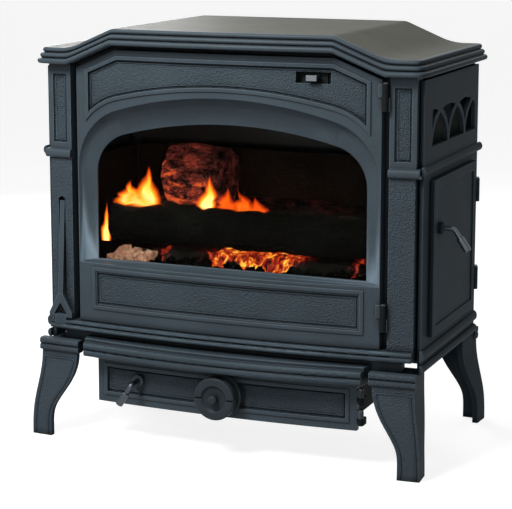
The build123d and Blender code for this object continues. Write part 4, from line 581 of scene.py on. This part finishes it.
def lump_tree(finish):
    """Tree that strews broken lumps over a surface."""
    tree, add, given, labels = start_tree(f"{finish}_lumps", Density="Float", Size="Float", Seed="Int")
    size, seed = given["Size"], given["Seed"]
    points = add("GeometryNodeDistributePointsOnFaces",
                 {"Mesh": given["Geometry"], "Density": given["Density"], "Seed": seed})
    lump = add("GeometryNodeMeshIcoSphere", {"Radius": 0.5, "Subdivisions": 2})
    whole_turn = 6.3
    turn = add("FunctionNodeRandomValue", {0: (0, 0, 0), 1: (whole_turn,) * 3, "Seed": seed},
               data_type="FLOAT_VECTOR")
    rotation = add("FunctionNodeEulerToRotation", {"Euler": turn.outputs[0]})
    spread = add("FunctionNodeRandomValue", {0: (0.7, 0.6, 0.6), 1: (1.3, 1.1, 1.0), "Seed": seed},
                 data_type="FLOAT_VECTOR")
    scale = add("ShaderNodeVectorMath", {0: spread.outputs[0], 1: size}, operation="MULTIPLY")
    strewn = add("GeometryNodeInstanceOnPoints",
                 {"Points": points, "Instance": lump, "Rotation": rotation, "Scale": scale})
    real = add("GeometryNodeRealizeInstances", {"Geometry": strewn})
    place = add("GeometryNodeInputPosition")
    broken = add("ShaderNodeTexNoise", {"Vector": place, "Scale": each(11 * MM), "Detail": 1.0})
    centred = add("ShaderNodeVectorMath", {0: broken.outputs["Color"], 1: (0.5, 0.5, 0.5)},
                  operation="SUBTRACT")
    moved = add("ShaderNodeVectorMath", {0: centred, 1: size}, operation="MULTIPLY")
    shaped = add("GeometryNodeSetPosition", {"Geometry": real, "Offset": moved})
    end_tree(add, shaped, finish)
    return tree, labels


def bead_tree(finish):
    """Tree that runs a round bead along a path."""
    tree, add, given, labels = start_tree(f"{finish}_bead", Radius="Float")
    path = add("GeometryNodeMeshToCurve", {"Mesh": given["Geometry"]})
    section = add("GeometryNodeCurvePrimitiveCircle", {"Resolution": 10, "Radius": given["Radius"]})
    tube = add("GeometryNodeCurveToMesh", {"Curve": path, "Profile Curve": section, "Fill Caps": True})
    end_tree(add, tube, finish)
    return tree, labels


def rope_tree(strands):
    """Tree that lays twisted strands along a path."""
    tree, add, given, labels = start_tree("rope_strands", Radius="Float", Twist="Float")
    path = add("GeometryNodeMeshToCurve", {"Mesh": given["Geometry"]})
    fine = add("GeometryNodeResampleCurve", {"Curve": path, "Length": 2.5 * MM}, mode="LENGTH")
    length = add("GeometryNodeSplineParameter").outputs["Length"]
    normal = add("GeometryNodeInputNormal").outputs["Normal"]
    along = add("GeometryNodeInputTangent")
    across = add("ShaderNodeVectorMath", {0: along, 1: normal}, operation="CROSS_PRODUCT")
    thick = add("ShaderNodeMath", {0: given["Radius"], 1: 0.5}, operation="MULTIPLY")
    section = add("GeometryNodeCurvePrimitiveCircle", {"Resolution": 8, "Radius": thick})
    joined = add("GeometryNodeJoinGeometry")
    for strand in range(strands):
        start = 2 * math.pi * strand / strands
        angle = add("ShaderNodeMath", {0: length, 1: given["Twist"], 2: start}, operation="MULTIPLY_ADD")
        parts = []
        for direction, wave in ((normal, "COSINE"), (across, "SINE")):
            swing = add("ShaderNodeMath", {0: angle}, operation=wave)
            reach = add("ShaderNodeMath", {0: swing, 1: thick}, operation="MULTIPLY")
            parts.append(add("ShaderNodeVectorMath", {0: direction, 1: reach}, operation="MULTIPLY"))
        offset = add("ShaderNodeVectorMath", {0: parts[0], 1: parts[1]})
        laid = add("GeometryNodeSetPosition", {"Geometry": fine, "Offset": offset})
        tube = add("GeometryNodeCurveToMesh", {"Curve": laid, "Profile Curve": section})
        set_input(joined.inputs["Geometry"], tube)
    end_tree(add, joined, "rope_seal")
    return tree, labels


# Operators, one for each piece or group of like pieces
class STOVE_OT_plain_pieces(bpy.types.Operator):
    """Give every piece whose shape is right its finish"""

    bl_idname = "stove.plain_pieces"
    bl_label = "Plain pieces"

    def execute(self, context):
        for node, obj in NODES.items():
            finish = SLOT_OF[node]
            # Painted shade: the hinge pins take the darker blued steel rather than their bright slot, to sink
            # into the dark gap.
            if node.endswith("hinge_pins"):
                finish = "handle_steel"
            elif node == "rear_heat_shield":
                finish = "shield_steel"
            obj.data.materials.clear()
            obj.data.materials.append(FINISHES[finish])
        return {"FINISHED"}


class STOVE_OT_castings(bpy.types.Operator):
    """Paint the iron castings, texture their sunk fields and edge fields and legs with beads"""

    bl_idname = "stove.castings"
    bl_label = "Castings"

    # Radius of a field's bead, its inset, and the least share that the inset is of a corner's mitre
    field_bead, field_inset, mitre = 1.5 * MM, 4.5 * MM, 0.5
    leg_bead = 1.6 * MM
    # A leg's outer face turns out at least this much; its border stops this far from foot and top
    outer, foot_gap, top_gap = 0.4, 2 * MM, 34 * MM
    # Length of the air slide's finger tab
    tab = 9 * MM

    def execute(self, context):
        self.tree = bead_tree("matt_iron")
        sunk = sizes().field_depth
        for node in ("front_door", "ash_door", "left_upper_column", "right_upper_column"):
            dress_casting(node, sunk)
            self.edge_fields(node, sunk)
        for node in ("left_lower_column", "right_lower_column"):
            dress_casting(node, 0.0)
        for node in ("left_side_plate", "right_side_frame", "side_door", "left_vent_panel",
                     "right_vent_panel"):
            dress_casting(node, finishes=("matt_iron",))
        # The air wheel takes the darker paint as painted shade under the shelf.
        dress_casting("air_wheel", finishes=("wheel_iron",))
        for node in ("hearth_shelf", "front_ledge"):
            dress_casting(node, finishes=("moulded_iron",))
        for end, outward in (("front", -1), ("rear", 1)):
            for side in ("left", "right"):
                self.dress_leg(f"{end}_{side}_leg", outward)
        self.dress_slide()
        return {"FINISHED"}

    def add_bead(self, node, points, edges, radius):
        """Run a bead along a path on a casting."""
        base = plain_mesh(f"{node}_path", points, edges)
        bead = smooth(run_tree(*self.tree, base, Radius=radius))
        settle(new_piece(f"{node}_bead", bead, "matt_iron"), node, stands_in=False)

    def edge_fields(self, node, sunk):
        """Run a thin bead on the sunk fields of a casting, a little inside their outlines."""
        work = joined_copy(node)
        mark_fields(work, sunk)
        ways = {}
        border = set()
        for edge in work.edges:
            inner = [face for face in edge.link_faces if face.material_index == 1]
            if len(inner) == 1:
                border.add(edge)
                start, stop = edge.verts
                along = (stop.co - start.co).normalized()
                reach = next(vert for vert in inner[0].verts if vert not in edge.verts).co - start.co
                for vert in edge.verts:
                    ways.setdefault(vert, []).append((reach - along * reach.dot(along)).normalized())
        points = []
        order = {}
        for vert in self.outer_corners(ways, border):
            mean = sum(ways[vert], Vector()).normalized()
            order[vert] = len(points)
            points.append(vert.co + mean * self.field_inset / max(mean.dot(ways[vert][0]), self.mitre))
        edges = sorted([order[vert] for vert in edge.verts] for edge in border if edge.verts[0] in order)
        work.free()
        self.add_bead(node, points, edges, self.field_bead)

    def outer_corners(self, ways, border):
        """Corners of the fields' outer outlines, without the outlines of holes."""
        corners = []
        for loop in linked_corners(ways, border):
            centre = sum((vert.co for vert in loop), Vector()) / len(loop)
            if sum(way.dot(centre - vert.co) for vert in loop for way in ways[vert]) > 0:
                corners += loop
        return corners

    def dress_slide(self):
        """Paint the air slide black as painted shade in its slot, all but its finger tab of bright steel."""
        work = joined_copy("air_slide")
        tab_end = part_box("air_slide")[0].y + self.tab
        for face in work.faces:
            # Painted shade: all but the tab gets the black sheet finish.
            face.material_index = int(face.calc_center_median().y < tab_end)
        mesh = shaded_mesh("air_slide_plate", work)
        settle(new_piece("air_slide_plate", mesh, "sheet_steel", "bright_steel"), "air_slide")

    def dress_leg(self, node, outward):
        """Pebble the outer face of a leg and run a bead around it."""
        work = joined_copy(node)
        for face in work.faces:
            face.material_index = int(face.normal.y * outward > self.outer)
        surface = BVHTree.FromBMesh(work)
        mesh = shaded_mesh(f"{node}_casting", work)
        settle(new_piece(f"{node}_casting", mesh, "matt_iron", "leg_iron"), node)
        path = self.leg_border(surface, node, outward)
        self.add_bead(node, path, [(i - 1, i) for i in range(1, len(path))], self.leg_bead)

    def leg_border(self, surface, node, outward):
        """Points on a leg's outer face, a little inside its outline, from the foot up, across and down."""
        low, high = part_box(node)
        rows, samples, inset = 30, 200, 13
        left, right = [], []
        for j in range(rows + 1):
            z = low.z + self.foot_gap + (high.z - self.foot_gap - self.top_gap - low.z) * j / rows
            hits = []
            for i in range(samples):
                start = Vector((low.x + (high.x - low.x) * (i + 0.5) / samples, outward, z))
                spot, normal, _, _ = surface.ray_cast(start, Vector((0, -outward, 0)))
                if spot and normal.y * outward > self.outer:
                    hits.append(spot)
            left.append(hits[inset])
            right.append(hits[-1 - inset])
        return left + right[::-1]


class STOVE_OT_top_plate(bpy.types.Operator):
    """Model the roof-shaped top with the rolls around its edge and its flared wings"""

    bl_idname = "stove.top_plate"
    bl_label = "Top plate"

    # Sizes of the casting, from the door's middle and from the bow's crown
    plateau, wing = 0.200, 0.286
    corner, band, shoulder = 22 * MM, 28 * MM, 18 * MM
    rolls, step, roll_depth, roll_share = 3, 5 * MM, 4 * MM, 0.48
    pocket_half, pocket_front, pocket_rear = 0.275, 0.060, 0.330
    crease, flare = 5 * MM, 20 * MM
    # Steps along the front, degrees between points of a corner, and the angle of a sharp edge
    stations, turn_step, sharp = 168, 15, 35
    # A face is a side of the plate where it turns out more than this
    side_facing = 0.6

    def execute(self, context):
        self.low, self.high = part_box("top_plate")
        work = bmesh.new()
        outline, ends = self.outline()
        profile = self.profile()
        pocket_rise = profile[-1][1] * 2 / 3
        rings = [self.pocket_ring(work, outline, rise) for rise in (pocket_rise, 0.0)]
        rings += [self.ring(work, outline, inset, rise) for inset, rise in profile]
        join_rings(work, rings)
        self.cap(work, rings[0], ends, 0)
        self.cap(work, rings[-1], ends, 1)
        bmesh.ops.remove_doubles(work, verts=work.verts, dist=JOIN)
        bmesh.ops.recalc_face_normals(work, faces=work.faces)
        for face in work.faces:
            aside = abs(face.calc_center_median().x - MIDDLE_X)
            if abs(face.normal.x) > self.side_facing and aside > self.pocket_half + self.corner:
                face.material_index = 2
        mesh = mesh_from("top_plate_casting", work)
        mesh.set_sharp_from_angle(angle=math.radians(self.sharp))
        settle(new_piece("top_plate_casting", mesh, "painted_iron", "warm_iron", "matt_iron"), "top_plate")
        return {"FINISHED"}

    def outline(self):
        """Plan of the edge as pairs of point and inward direction, and the number of points on the front."""
        reach = self.high.x - MIDDLE_X - self.corner
        stations = [-reach + 2 * reach * i / self.stations for i in range(self.stations + 1)]
        front = [Vector((x, self.low.y - CROWN_Y + bow_depth(MIDDLE_X + x))) for x in stations]
        rear_y = self.high.y - CROWN_Y
        rear = [Vector((x, rear_y)) for x in reversed(stations)]
        side = []
        for centre_y, first in ((front[-1].y + self.corner, 0), (rear_y - self.corner, 90)):
            for turn in range(first, first + 91, self.turn_step):
                across, along = math.sin(math.radians(turn)), math.cos(math.radians(turn))
                side.append(Vector((reach + self.corner * across, centre_y - self.corner * along)))
        other = [Vector((-point.x, point.y)) for point in reversed(side)]
        plan = front + side[1:-1] + rear + other[1:-1]
        pairs = []
        for before, point, after in zip(plan[-1:] + plan[:-1], plan, plan[1:] + plan[:1]):
            along = (after - before).normalized()
            pairs.append((point, Vector((-along.y, along.x))))
        return pairs, len(front)

    def profile(self):
        """Section of the edge as pairs of inset and rise: one roll on each step, then the upper side."""
        course = self.band / self.rolls
        section = []
        for roll in range(self.rolls):
            for turn in (-70, -45, -20, 0, 20, 45, 70, 90):
                angle = math.radians(turn)
                section.append((roll * self.step + self.roll_depth * (1 - math.cos(angle)),
                                (roll + 0.5) * course + self.roll_share * course * math.sin(angle)))
        return section + [(self.shoulder, self.band)]

    def fold(self, x):
        """Height of the underside: level wings, a slope and a level middle."""
        share = (self.wing - abs(x)) / (self.wing - self.plateau)
        return self.low.z + (self.high.z - self.band - self.low.z) * min(1.0, max(0.0, share))

    def height(self, x, rise):
        """Height of the casting, whose folds soften towards the upper side."""
        reach = self.crease if abs(x) < (self.plateau + self.wing) / 2 else self.flare
        taps = range(-6, 7)
        soft = sum(self.fold(x + reach * tap / taps[-1]) for tap in taps) / len(taps)
        share = rise / self.band
        return self.fold(x) * (1 - share) + soft * share + rise

    def ring(self, work, outline, inset, rise):
        """Add the points of one line around the edge."""
        verts = []
        for point, inward in outline:
            spot = point + inward * inset
            verts.append(work.verts.new((MIDDLE_X + spot.x, CROWN_Y + spot.y, self.height(point.x, rise))))
        return verts

    def pocket_ring(self, work, outline, rise):
        """Add the points of one line around the pocket underneath."""
        verts = []
        for point, _ in outline:
            x = min(self.pocket_half, max(-self.pocket_half, point.x))
            y = min(self.pocket_rear, max(self.pocket_front, point.y))
            verts.append(work.verts.new((MIDDLE_X + x, CROWN_Y + y, self.fold(x) + rise)))
        return verts

    def cap(self, work, ring, count, finish):
        """Close a ring with strips from front to rear and, on the upper side, one face at each end."""
        half = len(ring) // 2
        front, rear = ring[:count], ring[half : half + count]
        faces = [(front[i], front[i + 1], rear[-2 - i], rear[-1 - i]) for i in range(count - 1)]
        if finish:
            faces += [ring[count - 1 : half + 1], ring[half + count - 1 :] + ring[:1]]
        for corners in faces:
            work.faces.new(corners).material_index = finish


class STOVE_OT_rope_seals(bpy.types.Operator):
    """Lay twisted rope in the seal grooves of the doors"""

    bl_idname = "stove.rope_seals"
    bl_label = "Rope seals"

    # Longest mitre of a sharp corner, as the share of it that half the rope takes up
    mitre = 0.3

    def execute(self, context):
        tree, labels = rope_tree(sizes().rope_strands)
        for node in ("door_rope_seal", "side_door_seal", "ash_door_seal"):
            path, radius = self.seal_path(node)
            length = sum((path[i] - path[i - 1]).length for i in range(len(path)))
            turns = round(length / sizes().rope_lay)
            edges = [(i - 1, i) for i in range(1, len(path))] + [(len(path) - 1, 0)]
            base = plain_mesh(f"{node}_path", path, edges)
            mesh = smooth(run_tree(tree, labels, base, Radius=radius, Twist=2 * math.pi * turns / length))
            settle(new_piece(f"{node}_rope", mesh, "rope_seal"), node)
        return {"FINISHED"}

    def seal_path(self, node):
        """Middle line of a flat seal, drawn in from its outline by half the rope."""
        low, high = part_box(node)
        span = high - low
        thin = min(range(3), key=lambda axis: span[axis])
        flat = [axis for axis in range(3) if axis != thin]
        points = [Vector([vert.co[axis] for axis in flat]) for vert in NODES[node].data.vertices]
        outline = [points[i] for i in geometry.convex_hull_2d(points)]
        radius = span[thin] / 2
        path = []
        for before, corner, after in zip(outline[-1:] + outline[:-1], outline, outline[1:] + outline[:1]):
            into, out = (corner - before).normalized(), (after - corner).normalized()
            inward = (into.orthogonal() + out.orthogonal()).normalized()
            reach = radius / max(inward.dot(into.orthogonal()), self.mitre)
            spot = [0.0, 0.0, 0.0]
            spot[thin] = (low[thin] + high[thin]) / 2
            spot[flat[0]], spot[flat[1]] = corner + inward * reach
            path.append(Vector(spot))
        return path, radius


class STOVE_OT_logs(bpy.types.Operator):
    """Model the charred logs, the short one on top glowing"""

    bl_idname = "stove.logs"
    bl_label = "Logs"

    # Only the top log reaches this far above the bed; its left end is cut back
    top_rise, cut_back = 120 * MM, 26 * MM
    # Warmth of the front log, the back log and the top log
    warmths = (0.0, 0.62, 1.0)
    # Sizes of the bark's plates, its cracks' depth, the knots, the splinters and how far ends are torn
    plate, crack_depth, knot, splinter, torn = 26 * MM, 4 * MM, 60 * MM, 14 * MM, 5 * MM
    # Shares of the radius: girth, swelling at knots and narrowing at the top log's ends
    girth, swelling, narrowing = 0.93, 0.05, 0.07
    # Shares of the warmth: at the foot, lost to the top, lost to the right end, and on the two end faces
    foot_warmth, top_loss, end_loss, end_warmths = 1.5, 0.85, 0.4, (0.8, 0.6)
    # How deep the end faces are split, and the size of the splits
    split, split_size = 2 * MM, 12 * MM

    def execute(self, context):
        top_level = BED_HIGH.z + self.top_rise
        logs = sorted(solids_of("logs"), key=lambda box: (box[1].z > top_level, box[0].y))
        logs[-1][0].x += self.cut_back
        work = bmesh.new()
        heat = work.verts.layers.float.new("warmth")
        for seed, (box, warmth) in enumerate(zip(logs, self.warmths)):
            self.add_log(work, heat, box, warmth, 7.0 * seed)
        bmesh.ops.recalc_face_normals(work, faces=work.faces)
        settle(new_piece("burning_logs", mesh_from("burning_logs", work), "log_bark"), "logs")
        return {"FINISHED"}

    def add_log(self, work, heat, box, warmth, seed):
        """Add one log along X: bark cracked into plates and swollen by knots, with broken ends."""
        low, high = box
        middle = (low + high) / 2
        radius = (high.z - low.z) / 2
        sides, step = 64, 4 * MM
        count = round((high.x - low.x) / step)
        rings = []
        for i in range(count + 1):
            x = low.x + (high.x - low.x) * i / count
            waist = 1 - self.narrowing * (2 * i / count - 1) ** 2 if warmth == 1.0 else 1.0
            ring = []
            for k in range(sides):
                angle = 2 * math.pi * k / sides
                out = Vector((0, math.cos(angle), math.sin(angle)))
                place = Vector((x * 0.5, 0, 0)) + out * radius
                near = noise.voronoi(place * each(self.plate) + Vector((seed, 0, 0)))[0]
                crack = 1 - min(1.0, (near[1] - near[0]) * 3.0)
                swell = noise.fractal(place * each(self.knot) + Vector((0, seed, 0)), 1.0, 2.0, 4)
                reach = radius * waist * (self.girth + self.swelling * swell) - crack * self.crack_depth
                tear = max(0.0, self.torn * noise.noise(place * each(self.splinter)))
                shift = {0: tear, count: -tear}.get(i, 0.0)
                spot = (x + shift, middle.y + out.y * reach, middle.z + out.z * reach)
                ring.append(work.verts.new(spot))
                lift = (spot[2] - low.z) / (high.z - low.z)
                fade = 1 - self.end_loss * (i / count) ** 4
                ring[-1][heat] = warmth * (self.foot_warmth - self.top_loss * lift) * fade
            rings.append(ring)
        join_rings(work, rings[::-1])
        for ring, depth, share in zip((rings[0], rings[-1]), (self.split, -self.split), self.end_warmths):
            self.close_end(work, heat, ring, depth, share * warmth)

    def close_end(self, work, heat, ring, depth, warmth):
        """Close a log's end with a shallow, split face, in rings that are each a share of the one before."""
        centre = sum((vert.co for vert in ring), Vector()) / len(ring)
        for share in (0.75, 0.6):
            inner = []
            for vert in ring:
                spot = centre.lerp(vert.co, share)
                spot.x += depth * noise.noise(spot * each(self.split_size))
                inner.append(work.verts.new(spot))
                inner[-1][heat] = warmth
            join_rings(work, [inner, ring])
            ring = inner
        heart = work.verts.new(centre)
        heart[heat] = warmth
        for k in range(len(ring)):
            work.faces.new((ring[k], ring[k - 1], heart))


class STOVE_OT_ember_bed(bpy.types.Operator):
    """Model the bed of embers and strew charcoal and ash on it"""

    bl_idname = "stove.ember_bed"
    bl_label = "Ember bed"

    # The bed's slope behind its front lip, the lip's drop, the crest's drop, and its lumps' size and height
    slope, lip, crest = 34 * MM, 41 * MM, 6 * MM
    clod, clod_rise = 30 * MM, 4 * MM
    # Heat: the heart and two small spots, from the door's middle; half widths, levels and the heart's edge
    heart_x, heart_half, heart_heat, heart_edge = 0.018, 0.125, 0.75, 2.2
    spots_x, spot_half, spot_heat = (-0.15, 0.205), 0.03, 0.55
    # The front lip is cold this far in, and the heat grows over this length
    cold, warming = 4 * MM, 12 * MM
    # Name, finish, ends from the door's middle, place behind the lip, size in lumps and seed of a strip
    strips = (
        ("charcoal_left", "log_bark", -0.165, 0.045, 7 * MM, 1.0, 0),
        ("charcoal_right", "log_bark", 0.085, 0.235, 7 * MM, 1.0, 1),
        ("ash_crust", "ash", -0.256, -0.171, 13 * MM, 1.3, 5),
    )
    # Depth of a strip, and lumps on a square metre of it
    strip_depth, density = 14 * MM, 9000.0

    def execute(self, context):
        work = bmesh.new()
        self.add_mound(work, work.verts.layers.float.new("warmth"))
        settle(new_piece("ember_mound", mesh_from("ember_mound", work), "embers"), "ember_bed")
        for strip in self.strips:
            self.strew(*strip)
        return {"FINISHED"}

    def top_of(self, x, y):
        """Height of the bed: a slope behind the front lip, then a crest, broken up by lumps."""
        climb = min(1.0, (y - BED_LOW.y) / self.slope)
        rough = noise.fractal(Vector((x, y, 0)) * each(self.clod), 0.8, 2.0, 4)
        return BED_HIGH.z - self.crest - (1 - climb) * self.lip + self.clod_rise * rough

    def heat_at(self, x, y):
        """Heat of the bed: highest under the middle of the front log, with two small hot spots."""
        heart = max(0.0, 1 - abs(x - MIDDLE_X - self.heart_x) / self.heart_half)
        spot = max(0.0, *(1 - abs(x - MIDDLE_X - place) / self.spot_half for place in self.spots_x))
        behind = min(1.0, max(0.0, (y - BED_LOW.y - self.cold) / self.warming))
        return max(self.heart_heat * min(1.0, self.heart_edge * heart), self.spot_heat * spot) * behind

    def add_mound(self, work, heat):
        """Add the mound as a closed grid, finer towards the front."""
        columns, rows, bunching = 150, 60, 1.6
        grid = []
        for j in range(rows + 1):
            y = BED_LOW.y + (BED_HIGH.y - BED_LOW.y) * (j / rows) ** bunching
            line = []
            for i in range(columns + 1):
                x = BED_LOW.x + (BED_HIGH.x - BED_LOW.x) * i / columns
                vert = work.verts.new((x, y, self.top_of(x, y)))
                vert[heat] = self.heat_at(x, y)
                line.append(vert)
            grid.append(line)
        for first, second in zip(grid, grid[1:]):
            for i in range(columns):
                work.faces.new((first[i], first[i + 1], second[i + 1], second[i]))
        rim = grid[0] + [line[-1] for line in grid[1:]] + grid[-1][-2::-1]
        rim += [line[0] for line in grid[-2:0:-1]]
        foot = [work.verts.new((vert.co.x, vert.co.y, BED_LOW.z)) for vert in rim]
        for k in range(len(rim)):
            work.faces.new((rim[k - 1], foot[k - 1], foot[k], rim[k]))
        work.faces.new(list(reversed(foot)))

    def strew(self, name, finish, start, stop, behind, lumps, seed):
        """Strew lumps on a strip of the bed behind its front lip."""
        steps = 24
        front = BED_LOW.y + behind
        points = []
        for i in range(steps + 1):
            x = MIDDLE_X + start + (stop - start) * i / steps
            points += [(x, y, self.top_of(x, y)) for y in (front, front + self.strip_depth)]
        faces = [(2 * i, 2 * i + 2, 2 * i + 3, 2 * i + 1) for i in range(steps)]
        base = plain_mesh(f"{name}_strip", points, [], faces)
        size = sizes().lump * lumps
        mesh = run_tree(*lump_tree(finish), base, Density=self.density, Size=size, Seed=seed)
        settle(new_piece(name, mesh, finish), "ember_bed", stands_in=False)


class STOVE_OT_flames(bpy.types.Operator):
    """Model the tongues of flame behind and beside the front log"""

    bl_idname = "stove.flames"
    bl_label = "Flames"

    # Name, place from the door's middle and behind its crown, root height, width, height, lean and heat
    tongues = (
        ("flame_left_low", -0.222, 0.098, 0.401, 0.058, 0.046, 0.004, 1.0),
        ("flame_left_foot", -0.203, 0.097, 0.401, 0.086, 0.036, 0.0, 1.0),
        ("flame_left_high", -0.188, 0.098, 0.401, 0.058, 0.072, 0.010, 1.0),
        ("flame_middle", -0.070, 0.097, 0.401, 0.042, 0.064, 0.010, 1.0),
        ("flame_low_1", -0.034, 0.099, 0.401, 0.050, 0.043, 0.004, 0.34),
        ("flame_low_2", -0.002, 0.100, 0.401, 0.052, 0.038, 0.002, 0.4),
        ("flame_low_3", 0.026, 0.100, 0.401, 0.044, 0.030, -0.004, 0.28),
        ("flame_at_end", -0.258, 0.082, 0.338, 0.022, 0.070, 0.002, 0.95),
    )
    # Shells of a tongue from outside in, as pairs of share of its size and heat
    shells = ((1.0, 0.12), (0.91, 0.26), (0.82, 0.42), (0.72, 0.62), (0.61, 0.84), (0.48, 1.1))
    # Width of a tongue at even steps from root to tip
    swell = (0.86, 1.0, 0.96, 0.86, 0.72, 0.55, 0.38, 0.22, 0.1, 0.02)
    # Depth as a share of the width, how far tongues waver and edges flicker, and what heat the tip loses
    thin, waving, flicker, cooling = 0.35, 0.3, 0.6, 0.55
    # Bends and licks from root to tip, and the least share of the height that an inner shell has
    bends, licks, squat = 2.6, 5, 0.55

    def execute(self, context):
        for seed, (name, x, y, root, width, height, lean, glow) in enumerate(self.tongues):
            work = bmesh.new()
            heat = work.verts.layers.float.new("warmth")
            foot = Vector((MIDDLE_X + x, CROWN_Y + y, root))
            for share, core in self.shells:
                self.add_shell(work, heat, foot, (width, height, lean), share, glow * core, 3.0 * seed)
            bmesh.ops.recalc_face_normals(work, faces=work.faces)
            settle(new_piece(name, mesh_from(name, work), "flames"), "ember_bed", stands_in=False)
        return {"FINISHED"}

    def add_shell(self, work, heat, foot, size, share, core, seed):
        """Add one closed shell of a flame, flattened front to back, that wavers towards its tip."""
        width, height, lean = size
        sides, steps = 20, len(self.swell) - 1
        rings = []
        for i, reach in enumerate(self.swell):
            rise = i / steps
            waver = self.waving * width * rise * noise.noise(Vector((seed, rise * self.bends, 0)))
            tall = height * (self.squat + (1 - self.squat) * share)
            centre = foot + Vector((lean * rise + waver, 0, tall * rise))
            half = 0.5 * width * share * reach
            ring = []
            for k in range(sides):
                angle = 2 * math.pi * k / sides
                across, deep = math.cos(angle), math.sin(angle)
                edge = 1 + self.flicker * noise.noise(Vector((across, seed, rise * self.licks)))
                vert = work.verts.new(centre + Vector((half * edge * across, half * self.thin * deep, 0)))
                vert[heat] = core * (1 - self.cooling * rise**1.5)
                ring.append(vert)
            rings.append(ring)
        join_rings(work, rings)
        work.faces.new(rings[0])
        work.faces.new(rings[-1])


class STOVE_OT_stage(bpy.types.Operator):
    """Set the pale floor, the soft studio light and the camera"""

    bl_idname = "stove.stage"
    bl_label = "Stage"

    # Name, place, size and power of each lamp, and the height that they point at
    lamps = (
        ("key_light", (-0.46, -1.34, 1.78), 0.7, 44.0),
        ("fill_light", (0.95, -2.4, 1.1), 0.6, 8.0),
        ("top_light", (-0.1, 0.9, 2.6), 1.8, 10.0),
        ("back_light", (-1.5, 1.7, 1.2), 1.2, 26.0),
    )
    aim_height = 0.4
    # Half the floor's width, the floor's own light in view, and the world's level as a light
    floor_half, floor_lift, world_light = 14.0, 0.84, 0.12
    # The photo's view: place, degrees down and degrees round
    view_from, tilt, turn = (1.150, -2.843, 0.936), 9.79, 22.62

    def execute(self, context):
        scene = context.scene
        scene.view_settings.view_transform = "Standard"
        self.floor(scene)
        self.world(scene)
        for lamp in self.lamps:
            self.lamp(scene, *lamp)
        self.camera(scene)
        return {"FINISHED"}

    def seen_straight(self, tree):
        """1 for rays from the camera, in gloss or through glass, which show the background; 0 for light."""
        path = add_node(tree, "ShaderNodeLightPath").outputs
        gloss = add_node(tree, "ShaderNodeMath", {0: path["Is Camera Ray"], 1: path["Is Glossy Ray"]},
                         operation="MAXIMUM")
        return add_node(tree, "ShaderNodeMath", {0: gloss, 1: path["Is Transmission Ray"]},
                        operation="MAXIMUM")

    def floor(self, scene):
        half = self.floor_half
        corners = [(-half, -half, 0), (half, -half, 0), (half, half, 0), (-half, half, 0)]
        mesh = plain_mesh("floor", corners, [], [(0, 1, 2, 3)])
        material, add, shader, _ = start_material("pale_floor")
        seen = self.seen_straight(material.node_tree)
        lift = add("ShaderNodeMath", {0: seen, 1: self.floor_lift}, operation="MULTIPLY")
        set_shader(shader, Base_Color=colours().floor, Roughness=0.9, Specular_IOR_Level=0.1,
                   Emission_Color=(1, 1, 1, 1), Emission_Strength=lift)
        mesh.materials.append(material)
        floor = bpy.data.objects.new("floor", mesh)
        scene.collection.objects.link(floor)

    def world(self, scene):
        scene.world = bpy.data.worlds.new("studio")
        scene.world.use_nodes = True
        tree = scene.world.node_tree
        level = add_node(tree, "ShaderNodeMapRange",
                         {"Value": self.seen_straight(tree), "To Min": self.world_light, "To Max": 1.0})
        background = tree.nodes["Background"]
        set_input(background.inputs["Strength"], level)
        set_input(background.inputs["Color"], (1, 1, 1, 1))

    def lamp(self, scene, name, place, size, power):
        light = bpy.data.lights.new(name, "AREA")
        light.shape = "DISK"
        light.size = size
        light.energy = power
        lamp = bpy.data.objects.new(name, light)
        lamp.location = place
        aim = Vector((MIDDLE_X, 0, self.aim_height)) - Vector(place)
        lamp.rotation_euler = aim.to_track_quat("-Z", "Y").to_euler()
        scene.collection.objects.link(lamp)

    def camera(self, scene):
        data = bpy.data.cameras.new("photo_view")
        data.lens = 124.3
        data.sensor_width = 36.0
        data.shift_y = -0.1
        camera = bpy.data.objects.new("photo_view", data)
        camera.location = self.view_from
        camera.rotation_euler = (math.radians(90 - self.tilt), 0, math.radians(self.turn))
        scene.collection.objects.link(camera)
        scene.camera = camera


class STOVE_PT_panel(bpy.types.Panel):
    """Lists the stove's operators and settings"""

    bl_idname = "STOVE_PT_panel"
    bl_label = "Wood burning stove"
    bl_space_type = "VIEW_3D"
    bl_region_type = "UI"
    bl_category = "Stove"

    def draw(self, context):
        for settings in (context.scene.stove_sizes, context.scene.stove_colours):
            for name in settings.__annotations__:
                self.layout.prop(settings, name)
        for operator in OPERATORS:
            self.layout.operator(operator.bl_idname)


OPERATORS = (
    STOVE_OT_plain_pieces,
    STOVE_OT_castings,
    STOVE_OT_top_plate,
    STOVE_OT_rope_seals,
    STOVE_OT_logs,
    STOVE_OT_ember_bed,
    STOVE_OT_flames,
    STOVE_OT_stage,
)
CLASSES = (StoveSizes, StoveColours, *OPERATORS, STOVE_PT_panel)


def register():
    for cls in CLASSES:
        bpy.utils.register_class(cls)
    bpy.types.Scene.stove_sizes = PointerProperty(type=StoveSizes)
    bpy.types.Scene.stove_colours = PointerProperty(type=StoveColours)


def unregister():
    del bpy.types.Scene.stove_colours
    del bpy.types.Scene.stove_sizes
    for cls in reversed(CLASSES):
        bpy.utils.unregister_class(cls)


def main():
    register()
    make_finishes()
    bpy.ops.stove.plain_pieces()
    bpy.ops.stove.castings()
    bpy.ops.stove.top_plate()
    bpy.ops.stove.rope_seals()
    bpy.ops.stove.logs()
    bpy.ops.stove.ember_bed()
    bpy.ops.stove.flames()
    bpy.ops.stove.stage()


if __name__ == "__main__":
    main()
